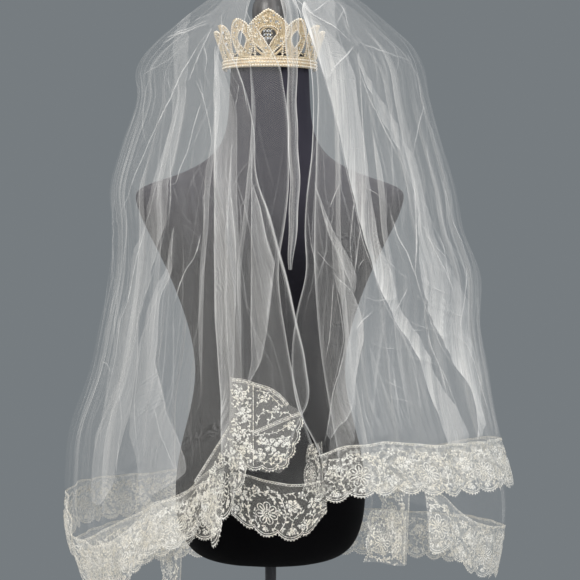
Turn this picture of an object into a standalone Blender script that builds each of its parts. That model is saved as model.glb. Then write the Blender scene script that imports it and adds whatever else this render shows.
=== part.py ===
"""Bridal veil of two tulle tiers with scalloped lace edging and a beaded tiara, on a limbless dress form.

Metres, +Z up. The origin is the middle of the base's underside, and the veil opens towards -Y. An angle on a
tier is measured round the form from the front, in degrees, and is positive towards +X.
"""

import math

import bmesh
import bpy
import numpy as np

# Driving dimensions
TULLE_WALL = 0.0012
LACE_WALL = 0.0016
ROW_CROWDING = 1.45  # above 1, the rows of a tier's grid lie closer near the crown
SEAM_GAP = 0.0003
SIDE_GAP = 0.0012  # between a tier's front and back stretches, whose walls turn with the folds
ROUNDNESS = 2.3  # exponent of the veil's oval sections, 2 is an ellipse
SIDE_ANGLE = 95.0  # where a tier's front stretches meet its back
UPPER_TOP = 0.984
LOWER_TOP = 0.974
LOWER_INSET = 0.010  # how far the lower tier lies inside the upper one
UPPER_LACE = 0.068
LOWER_LACE = 0.074
SCALLOP_PERIOD = 0.031
SCALLOP_DEPTH = 0.008
SCALLOP_STEPS = 4
CROSS_LIFT = 0.011  # how far the left front stands off the right front that it crosses
FLAP_LIFT = 0.0010  # between the left front and the corner turned up over it
BASE_RADIUS = 0.135
BASE_HEIGHT = 0.016
POLE_RADIUS = 0.008
FORM_BOTTOM = 0.172
FORM_TOP = 0.862
CAP_RADIUS = 0.0606
CAP_HEIGHT = 0.016
COMB_BOTTOM = 0.972
COMB_HEIGHT = 0.014
COMB_HALF = (0.0448, 0.0110)  # half its length and half its depth
COMB_ROUNDING = 0.02  # share by which the comb's binding draws in at its rims
BAND_RADIUS = 0.0610
BAND_WALL = 0.0022
BAND_BOTTOM = 0.8555
BAND_HEIGHT = 0.0125
BAND_HALF_ANGLE = 104.0
TIARA_FLARE = 0.34  # how far the tiara leans out for each metre of height

# Sections of the upper tier: half widths to each side and depths in front and behind, at a height
VEIL_SECTIONS = (
    # height, left, right, front, back
    (0.100, 0.262, 0.322, 0.164, 0.200),
    (0.150, 0.270, 0.332, 0.168, 0.205),
    (0.215, 0.288, 0.341, 0.172, 0.208),
    (0.280, 0.284, 0.338, 0.170, 0.203),
    (0.350, 0.277, 0.318, 0.165, 0.190),
    (0.445, 0.245, 0.299, 0.156, 0.170),
    (0.500, 0.233, 0.289, 0.151, 0.160),
    (0.574, 0.218, 0.286, 0.143, 0.148),
    (0.645, 0.214, 0.262, 0.134, 0.141),
    (0.690, 0.217, 0.254, 0.126, 0.138),
    (0.750, 0.201, 0.236, 0.116, 0.133),
    (0.815, 0.178, 0.217, 0.111, 0.130),
    (0.865, 0.174, 0.205, 0.108, 0.125),
    (0.890, 0.155, 0.190, 0.106, 0.118),
    (0.910, 0.132, 0.168, 0.101, 0.108),
    (0.930, 0.108, 0.146, 0.092, 0.095),
    (0.951, 0.080, 0.118, 0.070, 0.075),
    (0.968, 0.060, 0.082, 0.042, 0.046),
    (0.984, 0.0465, 0.0465, 0.0127, 0.0127),
)

# Across positions of the free front edges, at a height
UPPER_LEFT_EDGE = (
    # height, across
    (0.280, 0.020),
    (0.345, 0.022),
    (0.407, 0.041),
    (0.421, 0.048),
    (0.472, 0.047),
    (0.533, 0.034),
    (0.581, 0.024),
    (0.621, 0.013),
    (0.662, 0.002),
    (0.707, -0.014),
    (0.776, -0.019),
    (0.820, -0.029),
    (0.855, -0.040),
    (0.882, -0.036),
    (0.930, -0.026),
    (0.984, -0.010),
)
UPPER_RIGHT_EDGE = (
    (0.281, 0.076),
    (0.356, 0.066),
    (0.420, 0.037),
    (0.480, 0.030),
    (0.532, 0.035),
    (0.591, 0.048),
    (0.643, 0.047),
    (0.681, 0.049),
    (0.745, 0.056),
    (0.846, 0.055),
    (0.880, 0.050),
    (0.933, 0.036),
    (0.984, 0.012),
)
LOWER_LEFT_EDGE = (
    (0.200, 0.073),
    (0.320, 0.072),
    (0.400, 0.046),
    (0.500, 0.024),
    (0.602, 0.012),
    (0.648, 0.021),
    (0.694, 0.025),
    (0.746, 0.022),
    (0.790, 0.012),
    (0.820, -0.004),
    (0.850, -0.026),
    (0.900, -0.033),
    (0.974, -0.010),
)
LOWER_RIGHT_EDGE = (
    (0.200, 0.104),
    (0.320, 0.094),
    (0.500, 0.066),
    (0.600, 0.059),
    (0.745, 0.062),
    (0.846, 0.062),
    (0.900, 0.052),
    (0.974, 0.012),
)

# Seam between tulle and lace, round each tier
UPPER_HEADER = (
    # angle, height
    (-180, 0.250),
    (-150, 0.240),
    (-120, 0.250),
    (-95, 0.264),
    (-80, 0.262),
    (-62, 0.226),
    (-48, 0.224),
    (-36, 0.252),
    (-29, 0.288),
    (-20, 0.302),
    (-12, 0.330),
    (0, 0.345),
    (8, 0.350),
    (15, 0.364),
    (25, 0.371),
    (38, 0.364),
    (60, 0.357),
    (75, 0.350),
    (95, 0.336),
    (120, 0.310),
    (150, 0.270),
    (180, 0.250),
)
LOWER_HEADER = (
    (-180, 0.172),
    (-140, 0.176),
    (-95, 0.192),
    (-60, 0.222),
    (-40, 0.262),
    (-20, 0.306),
    (-8, 0.332),
    (4, 0.316),
    (14, 0.322),
    (24, 0.300),
    (35, 0.282),
    (50, 0.256),
    (60, 0.240),
    (75, 0.226),
    (95, 0.208),
    (140, 0.182),
    (180, 0.172),
)

# The stretches of each tier and their lace
STRETCHES = (
    # tier, side, columns, rows, share of the hem with lace
    ("upper", -1, 40, 8, 0.88),
    ("upper", 1, 34, 8, 1.0),
    ("upper", 0, 38, 7, 1.0),
    ("lower", -1, 26, 6, 1.0),
    ("lower", 1, 20, 6, 1.0),
    ("lower", 0, 30, 6, 1.0),
)
SIDE_NAMES = {-1: "left", 1: "right", 0: "back"}

# Largest folds: a ridge stands out by its height at the hem and fades towards the crown
FOLDS = (
    # angle, half width, height
    (-168, 8.0, 0.011),
    (-149, 6.5, 0.014),
    (-133, 7.0, 0.010),
    (-118, 6.0, 0.013),
    (-103, 6.0, 0.009),
    (-88, 5.0, 0.010),
    (-76, 4.5, 0.007),
    (-63, 5.0, 0.011),
    (-50, 4.5, 0.009),
    (-38, 4.5, 0.012),
    (-27, 4.0, 0.007),
    (-11, 4.5, 0.012),
    (12, 3.5, 0.005),
    (21, 3.8, 0.010),
    (31, 4.2, 0.008),
    (41, 4.2, 0.013),
    (51, 4.2, 0.010),
    (62, 4.8, 0.012),
    (75, 5.0, 0.008),
    (88, 5.0, 0.011),
    (102, 6.0, 0.008),
    (117, 6.0, 0.013),
    (134, 7.0, 0.009),
    (152, 7.0, 0.013),
    (171, 7.5, 0.009),
)
FOLD_GROWTH = (
    # height, share of the fold's height
    (0.100, 1.00),
    (0.350, 1.00),
    (0.500, 0.80),
    (0.690, 0.42),
    (0.800, 0.50),
    (0.900, 0.40),
    (0.960, 0.10),
    (0.984, 0.00),
)
VALLEY_DEPTH = 0.0035  # the tulle between ridges lies this far inside its section

# Turned-up lace corner of the left front
FLAP_OUTLINE = (
    # across, top, bottom
    (-0.047, 0.458, 0.346),
    (-0.030, 0.454, 0.344),
    (-0.012, 0.448, 0.342),
    (0.004, 0.442, 0.341),
    (0.017, 0.432, 0.342),
    (0.025, 0.424, 0.352),
    (0.034, 0.419, 0.373),
    (0.041, 0.414, 0.404),
)

# Narrow folded edge that hangs in the front opening
STRIP_OUTLINE = (
    # height, middle, half width, depth in front
    (0.5920, 0.0290, 0.0020, 0.1290),
    (0.6200, 0.0310, 0.0045, 0.1275),
    (0.6800, 0.0330, 0.0062, 0.1160),
    (0.7600, 0.0325, 0.0066, 0.0950),
    (0.8200, 0.0310, 0.0062, 0.0740),
    (0.8552, 0.0300, 0.0060, 0.0560),
)

# Dress form: half width, half depth, and how far forward the section lies
FORM_SECTIONS = (
    # height, half width, half depth, forward
    (0.172, 0.096, 0.066, 0.000),
    (0.176, 0.108, 0.076, 0.000),
    (0.188, 0.122, 0.086, 0.000),
    (0.215, 0.134, 0.095, 0.000),
    (0.262, 0.139, 0.100, -0.002),
    (0.320, 0.132, 0.096, -0.002),
    (0.380, 0.114, 0.086, 0.002),
    (0.440, 0.103, 0.078, 0.006),
    (0.500, 0.113, 0.083, 0.010),
    (0.560, 0.133, 0.096, 0.016),
    (0.607, 0.154, 0.103, 0.018),
    (0.647, 0.176, 0.096, 0.014),
    (0.672, 0.186, 0.084, 0.008),
    (0.690, 0.190, 0.072, 0.002),
    (0.700, 0.172, 0.064, -0.001),
    (0.710, 0.138, 0.060, -0.004),
    (0.722, 0.108, 0.058, -0.005),
    (0.738, 0.081, 0.056, -0.005),
    (0.762, 0.063, 0.054, -0.003),
    (0.800, 0.056, 0.053, 0.000),
    (0.862, 0.055, 0.054, 0.000),
)
FORM_SIDES = 28

# Turned finial on the neck cap
FINIAL_PROFILE = (
    # height above the cap, radius
    (0.0003, 0.026),
    (0.006, 0.026),
    (0.010, 0.017),
    (0.020, 0.013),
    (0.036, 0.020),
    (0.052, 0.024),
    (0.068, 0.021),
    (0.078, 0.014),
    (0.084, 0.011),
    (0.0934, 0.011),
)

# Tiara: loops and stems of beaded wire on the flared surface above the band
TIARA_LOOPS = (
    # name, across in degrees, foot, top, half width, pointed share, wire radius
    ("tiara_peak", 0.0, SEAM_GAP, 0.0600, 0.0200, 0.45, 0.0017),
    ("tiara_heart", 0.0, 0.0042, 0.0390, 0.0115, -0.55, 0.0014),
    ("tiara_arch_right", 33.0, SEAM_GAP, 0.0500, 0.0115, 0.15, 0.0016),
    ("tiara_arch_left", -33.0, SEAM_GAP, 0.0500, 0.0115, 0.15, 0.0016),
    ("tiara_scroll_right", 82.0, SEAM_GAP, 0.0400, 0.0085, 0.30, 0.0015),
    ("tiara_scroll_left", -82.0, SEAM_GAP, 0.0400, 0.0085, 0.30, 0.0015),
)
TIARA_STEMS = (
    # name, across in degrees, top, radius
    ("tiara_column_right", 57.0, 0.044, 0.0026),
    ("tiara_column_left", -57.0, 0.044, 0.0026),
)

COLOURS = {
    # surface: colour, roughness, metallic
    "tulle": ((0.86, 0.84, 0.81), 0.75, 0.0),
    "lace": ((0.80, 0.76, 0.68), 0.80, 0.0),
    "jersey": ((0.016, 0.015, 0.019), 0.85, 0.0),
    "cap": ((0.025, 0.024, 0.028), 0.55, 0.0),
    "wood": ((0.28, 0.16, 0.10), 0.45, 0.0),
    "steel": ((0.10, 0.10, 0.11), 0.38, 0.9),
    "satin": ((0.85, 0.81, 0.74), 0.45, 0.0),
    "champagne": ((0.74, 0.60, 0.42), 0.32, 0.8),
}


def clear_scene():
    for obj in list(bpy.data.objects):
        bpy.data.objects.remove(obj, do_unlink=True)


def material(surface):
    made = bpy.data.materials.get(surface)
    if made:
        return made
    colour, roughness, metallic = COLOURS[surface]
    made = bpy.data.materials.new(surface)
    made.use_nodes = True
    shader = made.node_tree.nodes["Principled BSDF"]
    shader.inputs["Base Color"].default_value = (*colour, 1.0)
    shader.inputs["Roughness"].default_value = roughness
    shader.inputs["Metallic"].default_value = metallic
    made.diffuse_color = (*colour, 1.0)
    return made


def add_object(name, bm, surface):
    """A named object of a closed bmesh, with its faces turned outwards."""
    bmesh.ops.recalc_face_normals(bm, faces=bm.faces)
    mesh = bpy.data.meshes.new(name)
    bm.to_mesh(mesh)
    bm.free()
    mesh.materials.append(material(surface))
    mesh.shade_smooth()
    mesh.set_sharp_from_angle(angle=math.radians(50))
    obj = bpy.data.objects.new(name, mesh)
    bpy.context.scene.collection.objects.link(obj)
    return obj


def smooth_value(table, column, at):
    """A smooth curve through one column of a table whose first column rises."""
    known = np.array([row[0] for row in table], float)
    values = np.array([row[column] for row in table], float)
    slopes = np.gradient(values, known)
    at = np.clip(at, known[0], known[-1])
    i = np.clip(np.searchsorted(known, at, side="right") - 1, 0, len(known) - 2)
    step = known[i + 1] - known[i]
    t = (at - known[i]) / step
    start = (1 + 2 * t) * (1 - t) ** 2 * values[i] + t * (1 - t) ** 2 * step * slopes[i]
    end = t * t * (3 - 2 * t) * values[i + 1] + t * t * (t - 1) * step * slopes[i + 1]
    return start + end


def ramp(value, low, high):
    """0 below low, 1 above high, and smooth between."""
    t = np.clip((value - low) / (high - low), 0.0, 1.0)
    return t * t * (3 - 2 * t)


def section_sizes(height, lower):
    """Left, right, front and back of a tier at a height."""
    if not lower:
        return [smooth_value(VEIL_SECTIONS, k, height) for k in (1, 2, 3, 4)]
    raised = height + (UPPER_TOP - LOWER_TOP) * ramp(height, 0.80, 0.90)
    inset = LOWER_INSET * (1 - ramp(height, 0.93, LOWER_TOP))
    return [smooth_value(VEIL_SECTIONS, k, raised) - inset for k in (1, 2, 3, 4)]


def on_section(angle, height, outwards, lower):
    """The point of a tier's section at an angle and a height, moved outwards."""
    left, right, front, back = section_sizes(height, lower)
    sine, cosine = math.sin(math.radians(angle)), math.cos(math.radians(angle))
    across = (right if sine >= 0 else left) + outwards
    deep = (front if cosine >= 0 else back) + outwards
    power = 2 / ROUNDNESS
    x = math.copysign(abs(sine) ** power, sine) * across
    y = -math.copysign(abs(cosine) ** power, cosine) * deep
    return np.array((x, y, height))


def angle_of(across, height, lower):
    """The angle at which a front section reaches a distance across."""
    left, right, _, _ = section_sizes(height, lower)
    share = min(abs(across) / (right if across >= 0 else left), 1.0)
    return math.copysign(math.degrees(math.asin(share ** (ROUNDNESS / 2))), across)


def fold_height(angle, height, lower):
    """How far the folds move the cloth out at an angle of the hem."""
    ridges = sum(
        tall * math.exp(-(((angle - middle + 180) % 360 - 180) / half) ** 2)
        for middle, half, tall in FOLDS
    )
    share = 0.7 if lower else 1.0
    return share * (ridges - VALLEY_DEPTH) * smooth_value(FOLD_GROWTH, 1, height)


class Tier:
    """One tier: where its front edges run, where its tulle ends, and its surface."""

    def __init__(self, left_edge, right_edge, header, top, lower):
        self.edges = {-1: left_edge, 1: right_edge}
        self.header_table = header
        self.top = top
        self.lower = lower

    def edge_angle(self, side, height):
        return angle_of(smooth_value(self.edges[side], 1, height), height, self.lower)

    def hem_edge(self, side):
        """The angle of a front edge at the hem, from which folds are counted."""
        return self.edge_angle(side, self.edges[side][1][0])

    def header(self, angle):
        return float(smooth_value(self.header_table, 1, angle))

    def point(self, side, hem_angle, height, outwards=0.0):
        """The surface on the line that reaches the hem at an angle. side is -1, 1, or 0 for the back."""
        angle = hem_angle
        if side:
            seam = side * SIDE_ANGLE
            angle = seam + (hem_angle - seam) * (self.edge_angle(side, height) - seam) / (
                self.hem_edge(side) - seam
            )
        lift = fold_height(hem_angle, height, self.lower)
        if side == -1 and not self.lower:
            near_edge = ramp(hem_angle, self.hem_edge(-1) - 16, self.hem_edge(-1) - 4)
            lift += CROSS_LIFT * near_edge * (1 - ramp(height, 0.52, 0.62))
        return on_section(angle, height, lift + outwards, self.lower)

    def front_point(self, side, across, height, outwards=0.0):
        """The surface of a front stretch at a distance across."""
        seam = side * SIDE_ANGLE
        angle = angle_of(across, height, self.lower)
        share = (angle - seam) / (self.edge_angle(side, height) - seam)
        hem_angle = seam + share * (self.hem_edge(side) - seam)
        return self.point(side, hem_angle, height, outwards)


UPPER = Tier(UPPER_LEFT_EDGE, UPPER_RIGHT_EDGE, UPPER_HEADER, UPPER_TOP, lower=False)
LOWER = Tier(LOWER_LEFT_EDGE, LOWER_RIGHT_EDGE, LOWER_HEADER, LOWER_TOP, lower=True)
TIERS = {"upper": (UPPER, UPPER_LACE), "lower": (LOWER, LOWER_LACE)}


def row_normals(row):
    """Level normals along a row of points, pointing to its right as it runs."""
    along = np.gradient(np.array(row, float), axis=0)
    normal = np.stack([along[:, 1], -along[:, 0], 0 * along[:, 0]], axis=1)
    return normal / np.linalg.norm(normal, axis=1, keepdims=True)


def add_wall(name, grid, thickness, surface, seam_normals=None, seam_row=-1):
    """A closed wall: its outer face is a grid of points, and its inner face is set in by its thickness.

    The row at a seam may be set in along given normals, so that both pieces keep their gap there.
    """
    grid = np.array(grid, float)
    rows, columns = grid.shape[:2]
    down = np.gradient(grid, axis=0)
    along = np.gradient(grid, axis=1)
    normal = np.cross(along, down)
    normal /= np.linalg.norm(normal, axis=2, keepdims=True)
    outwards = grid * (1, 1, 0) - grid.mean(axis=(0, 1)) * (0.2, 0.2, 0)
    if (normal * outwards).sum() < 0:
        normal = -normal
    if seam_normals is not None:
        facing = np.sign((seam_normals * normal[seam_row]).sum())
        normal[seam_row] = seam_normals * facing
    bm = bmesh.new()
    outer = [[bm.verts.new(p) for p in row] for row in grid]
    inner = [[bm.verts.new(p) for p in row] for row in grid - normal * thickness]
    for i in range(rows - 1):
        for j in range(columns - 1):
            bm.faces.new((outer[i][j], outer[i][j + 1], outer[i + 1][j + 1], outer[i + 1][j]))
            bm.faces.new((inner[i][j], inner[i + 1][j], inner[i + 1][j + 1], inner[i][j + 1]))
    for i in (0, rows - 1):
        for j in range(columns - 1):
            bm.faces.new((outer[i][j], inner[i][j], inner[i][j + 1], outer[i][j + 1]))
    for j in (0, columns - 1):
        for i in range(rows - 1):
            bm.faces.new((outer[i][j], inner[i][j], inner[i + 1][j], outer[i + 1][j]))
    return add_object(name, bm, surface)


def stretch_angles(tier, side, count):
    """Hem angles of a stretch's columns."""
    if side == 0:
        return np.linspace(SIDE_ANGLE, 360 - SIDE_ANGLE, count + 1)
    return np.linspace(side * SIDE_ANGLE, tier.hem_edge(side), count + 1)


def wrapped(angle):
    return (angle + 180) % 360 - 180


def parted(grid, side):
    """The grid of a stretch, with the side edges of a back stretch drawn back from the front ones."""
    grid = np.array(grid, float)
    if side == 0:
        grid[:, (0, -1), 1] += SIDE_GAP
    return grid


def add_tulle(tier, side, name, columns, rows):
    """One stretch of a tier from the comb down to its lace seam."""
    angles = stretch_angles(tier, side, columns)
    shares = np.linspace(0, 1, rows + 1) ** ROW_CROWDING
    grid = []
    for share in shares:
        row = []
        for angle in angles:
            header = tier.header(wrapped(angle))
            height = tier.top + (header - tier.top) * share
            row.append(tier.point(side, wrapped(angle), height))
        grid.append(row)
    grid = parted(grid, side)
    return add_wall(name, grid, TULLE_WALL, "tulle", row_normals(grid[-1]))


def scallop(share):
    """Rounded scallops: 0 at a notch and 1 at the middle of a lobe."""
    return abs(math.sin(math.pi * share)) ** 0.7


def add_lace(tier, side, name, width, columns, share):
    """The scalloped edging of one stretch, sewn on where the tulle ends, along a share of its hem."""
    seam_angles = stretch_angles(tier, side, columns)
    seam_heights = [tier.header(wrapped(a)) for a in seam_angles]
    seam = [tier.point(side, wrapped(a), h) for a, h in zip(seam_angles, seam_heights)]
    seam = parted([seam], side)[0]
    seam = np.hstack([seam, row_normals(seam)])
    start = seam_angles[0]
    end = start + (seam_angles[-1] - start) * share
    rising = np.sign(end - start)

    def on_seam(angle, values):
        return float(np.interp(rising * angle, rising * seam_angles, values))

    def at_hem(angle, above):
        height = on_seam(angle, seam_heights) - width + above
        return tier.point(side, wrapped(angle), height)

    line = np.array([at_hem(angle, 0.0) for angle in np.linspace(start, end, 200)])
    length = np.linalg.norm(np.diff(line, axis=0), axis=1).sum()
    count = max(1, round(length / SCALLOP_PERIOD)) * SCALLOP_STEPS
    steps = np.linspace(start, end, count + 1)
    near = 0.15 * abs(end - start) / count
    inside = [a for a in seam_angles if min(abs(a - start), abs(a - end)) > near]
    inside = [a for a in inside if min(start, end) < a < max(start, end)]
    steps = [a for a in steps if a in (start, end) or min(abs(a - np.array(inside))) > near]
    top, bottom = [], []
    for angle in sorted(steps + inside, key=lambda a: rising * a):
        top.append([on_seam(angle, column) for column in seam.T])
        top[-1][2] -= SEAM_GAP
        lobe = scallop((angle - start) / (end - start) * count / SCALLOP_STEPS)
        bottom.append(at_hem(angle, SCALLOP_DEPTH * (1 - lobe)))
    bottom = parted([bottom], side)[0]
    top = np.array(top)
    return add_wall(name, [top[:, :3], bottom], LACE_WALL, "lace", top[:, 3:], seam_row=0)


def add_flap():
    """The lace corner of the left front, turned up and lying on it."""
    columns, rows = 20, 4
    low, high = FLAP_OUTLINE[0][0], FLAP_OUTLINE[-1][0]
    grid = [[] for _ in range(rows + 1)]
    for j in range(columns + 1):
        across = low + (high - low) * j / columns
        top = float(smooth_value(FLAP_OUTLINE, 1, across))
        bottom = float(smooth_value(FLAP_OUTLINE, 2, across))
        bottom -= 0.004 * scallop(j / SCALLOP_STEPS) * (1 - ramp(across, 0.020, 0.030))
        for i in range(rows + 1):
            height = top + (bottom - top) * i / rows
            edge = float(smooth_value(UPPER_LEFT_EDGE, 1, height))
            held = min(across, edge)
            point = UPPER.front_point(-1, held, height, FLAP_LIFT + LACE_WALL)
            grid[i].append(point + np.array((across - held, 0, 0)))
    return add_wall("flap_lace", grid, LACE_WALL, "lace")


def add_strip():
    """The narrow doubled edge in the opening, hung under the tiara's band."""
    grid = []
    for share in np.linspace(0, 1, 9):
        height = STRIP_OUTLINE[-1][0] + (STRIP_OUTLINE[0][0] - STRIP_OUTLINE[-1][0]) * share
        middle = float(smooth_value(STRIP_OUTLINE, 1, height))
        half = float(smooth_value(STRIP_OUTLINE, 2, height))
        deep = float(smooth_value(STRIP_OUTLINE, 3, height))
        row = []
        for k in (-1, -0.4, 0.4, 1):
            row.append(np.array((middle + half * k, -deep - 0.003 * (1 - k * k), height)))
        grid.append(row)
    return add_wall("lower_tier_folded_edge", grid, TULLE_WALL, "tulle")


def loft(name, rings, surface):
    """A closed body through rings of points, with flat ends."""
    bm = bmesh.new()
    loops = [[bm.verts.new(p) for p in ring] for ring in rings]
    count = len(loops[0])
    for low, high in zip(loops, loops[1:]):
        for j in range(count):
            k = (j + 1) % count
            bm.faces.new((low[j], low[k], high[k], high[j]))
    bm.faces.new(loops[0])
    bm.faces.new(loops[-1])
    return add_object(name, bm, surface)


def ring(half_width, half_depth, middle, height, sides, power=1.0):
    points = []
    for j in range(sides):
        turn = 2 * math.pi * j / sides
        sine, cosine = math.sin(turn), math.cos(turn)
        x = math.copysign(abs(sine) ** power, sine) * half_width
        y = math.copysign(abs(cosine) ** power, cosine) * half_depth
        points.append((x, y - middle, height))
    return points


def add_form():
    """Torso, neck cap, finial, pole and base."""
    rings = [
        ring(wide, deep, forward, height, FORM_SIDES, 0.92)
        for height, wide, deep, forward in FORM_SECTIONS
    ]
    loft("dress_form", rings, "jersey")
    cap_low = FORM_TOP + SEAM_GAP
    cap_rings = [
        ring(CAP_RADIUS - 0.0015, CAP_RADIUS - 0.0015, 0, cap_low, FORM_SIDES),
        ring(CAP_RADIUS, CAP_RADIUS, 0, cap_low + 0.002, FORM_SIDES),
        ring(CAP_RADIUS, CAP_RADIUS, 0, cap_low + CAP_HEIGHT - 0.006, FORM_SIDES),
        ring(CAP_RADIUS * 0.86, CAP_RADIUS * 0.86, 0, cap_low + CAP_HEIGHT, FORM_SIDES),
    ]
    loft("neck_cap", cap_rings, "cap")
    cap_top = cap_low + CAP_HEIGHT
    loft("finial", [ring(r, r, 0, cap_top + h, 16) for h, r in FINIAL_PROFILE], "wood")
    base_rings = [
        ring(BASE_RADIUS, BASE_RADIUS, 0, 0.0, 40),
        ring(BASE_RADIUS, BASE_RADIUS, 0, BASE_HEIGHT * 0.45, 40),
        ring(BASE_RADIUS * 0.96, BASE_RADIUS * 0.96, 0, BASE_HEIGHT * 0.8, 40),
        ring(BASE_RADIUS * 0.88, BASE_RADIUS * 0.88, 0, BASE_HEIGHT, 40),
    ]
    loft("base", base_rings, "steel")
    pole_ends = (BASE_HEIGHT + SEAM_GAP, FORM_BOTTOM - SEAM_GAP)
    loft("pole", [ring(POLE_RADIUS, POLE_RADIUS, 0, z, 16) for z in pole_ends], "steel")


def add_comb():
    long, deep = COMB_HALF
    rings = []
    for share in (0.0, 0.15, 0.85, 1.0):
        height = COMB_BOTTOM + COMB_HEIGHT * share
        swell = 1 - COMB_ROUNDING * (share in (0.0, 1.0))
        rings.append(ring(long * swell, deep * swell, 0, height, FORM_SIDES, 2 / ROUNDNESS))
    return loft("veil_comb", rings, "satin")


def on_tiara(angle, rise, outwards=0.0):
    """A point of the tiara's flared surface, at a rise above the band."""
    radius = BAND_RADIUS + BAND_WALL / 2 + TIARA_FLARE * rise + outwards
    turn = math.radians(angle)
    height = BAND_BOTTOM + BAND_HEIGHT + rise
    return (radius * math.sin(turn), -radius * math.cos(turn), height)


def add_band():
    angles = np.linspace(-BAND_HALF_ANGLE, BAND_HALF_ANGLE, 41)
    grid = []
    for share in (1.0, 0.66, 0.33, 0.0):
        swell = 0.0008 * math.sin(math.pi * share)
        radius = BAND_RADIUS + BAND_WALL + swell
        height = BAND_BOTTOM + BAND_HEIGHT * share
        row = []
        for angle in angles:
            turn = math.radians(angle)
            row.append((radius * math.sin(turn), -radius * math.cos(turn), height))
        grid.append(row)
    return add_wall("tiara_band", grid, BAND_WALL, "champagne")


def add_tube(name, points, radius, surface, cyclic):
    """A bevelled curve made into a closed mesh."""
    curve = bpy.data.curves.new(name, "CURVE")
    curve.dimensions = "3D"
    curve.bevel_depth = radius
    curve.bevel_resolution = 1
    curve.use_fill_caps = not cyclic
    spline = curve.splines.new("POLY")
    spline.points.add(len(points) - 1)
    for place, point in zip(spline.points, points):
        place.co = (*point, 1.0)
    spline.use_cyclic_u = cyclic
    curve.materials.append(material(surface))
    obj = bpy.data.objects.new(name, curve)
    bpy.context.scene.collection.objects.link(obj)
    return obj


def add_tiara():
    add_band()
    for name, across, foot, top, half, pointed, radius in TIARA_LOOPS:
        points = []
        steps = 16
        for j in range(steps):
            turn = 2 * math.pi * j / steps
            lean = (1 - math.cos(turn)) / 2
            rise = foot + radius + (top - foot - 2 * radius) * lean
            width = half * math.sin(turn) * (1 - pointed * (lean - 0.5))
            angle = across + math.degrees(width / (BAND_RADIUS + TIARA_FLARE * rise))
            points.append(on_tiara(angle, rise))
        add_tube(name, points, radius, "champagne", cyclic=True)
    for name, across, top, radius in TIARA_STEMS:
        beside_cap = radius - BAND_WALL / 2
        rises = np.linspace(SEAM_GAP, top, 7)
        points = [on_tiara(across, rise, beside_cap) for rise in rises]
        add_tube(name, points, radius, "champagne", cyclic=False)


def main():
    clear_scene()
    add_form()
    add_comb()
    add_tiara()
    for tier_name, side, columns, rows, lace_share in STRETCHES:
        tier, lace_width = TIERS[tier_name]
        where = SIDE_NAMES[side]
        add_tulle(tier, side, f"{tier_name}_tier_{where}", columns, rows)
        add_lace(tier, side, f"{tier_name}_lace_{where}", lace_width, columns, lace_share)
    add_flap()
    add_strip()


main()
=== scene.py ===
"""Bridal veil on a dress form: tulle, lace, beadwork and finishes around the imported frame.

Lengths are metres and angles are degrees. An angle on a tier is measured round the form from the front and is
positive towards +X. Places in the fold tables are whole millimetres, as height and distance across.
"""

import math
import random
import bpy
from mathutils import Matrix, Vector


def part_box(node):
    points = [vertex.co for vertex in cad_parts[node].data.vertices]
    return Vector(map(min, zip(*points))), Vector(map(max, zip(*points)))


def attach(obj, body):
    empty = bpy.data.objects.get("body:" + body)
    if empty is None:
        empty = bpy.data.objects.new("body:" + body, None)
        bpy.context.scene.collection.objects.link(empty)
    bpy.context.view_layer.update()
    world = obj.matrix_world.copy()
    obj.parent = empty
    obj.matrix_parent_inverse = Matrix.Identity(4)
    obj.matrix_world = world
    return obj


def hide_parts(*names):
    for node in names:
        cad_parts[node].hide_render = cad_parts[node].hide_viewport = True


bl_info = {
    "name": "Bridal Veil Dresser",
    "version": (1, 0, 0),
    "blender": (4, 5, 0),
    "location": "3D View > Sidebar > Veil",
    "description": "Drapes a two-tier tulle veil with lace edging and a beaded tiara on a dress form",
    "category": "Object",
}

import bmesh
import bpy
import numpy as np
from mathutils import Vector
from mathutils.bvhtree import BVHTree

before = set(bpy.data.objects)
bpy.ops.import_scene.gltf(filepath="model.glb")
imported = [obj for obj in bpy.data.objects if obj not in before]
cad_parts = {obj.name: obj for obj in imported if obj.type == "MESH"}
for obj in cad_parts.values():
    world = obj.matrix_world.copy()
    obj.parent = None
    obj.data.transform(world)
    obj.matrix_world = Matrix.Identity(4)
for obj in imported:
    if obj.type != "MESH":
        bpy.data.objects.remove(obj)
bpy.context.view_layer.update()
BODY = "root"
MM = 0.001

# The veil's form
ROUNDNESS = 2.3
SIDE_ANGLE = 95.0
LOWER_INSET = 0.010
CROSS_LIFT = 0.011
VALLEY_DEPTH = 0.0035
SEAM_STEP = 0.0012
UPPER_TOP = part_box("upper_tier_back")[1][2]
LOWER_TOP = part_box("lower_tier_back")[1][2]

# Pleats of the tulle: the reach of a turn, a doubled layer's rise, the width of a fully open pleat, how soon
# a layer settles beyond one, and the least columns of a leg. Then how the threads of its net cover.
TURN_REACH = 0.0024
LAYER_RISE = 0.0030
FULL_OPENING = 0.012
SETTLING = 0.05
LEG_COLUMNS = 7
TULLE_THREAD = 0.24
NET_LEVEL = -1.0
THREAD_EDGE = 0.25

# Lace edging: three scallops to a repeat of its stitching
SCALLOP_PERIOD = 0.031
SCALLOP_DEPTH = 0.008
SCALLOPS = 3
REPEAT = SCALLOPS * SCALLOP_PERIOD
LACE_ROWS = 13
LACE_SEAM = 0.0003
STITCH_LIFT = 0.0003
END_REACH = 0.034
LACE_THREAD = 0.50

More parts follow.
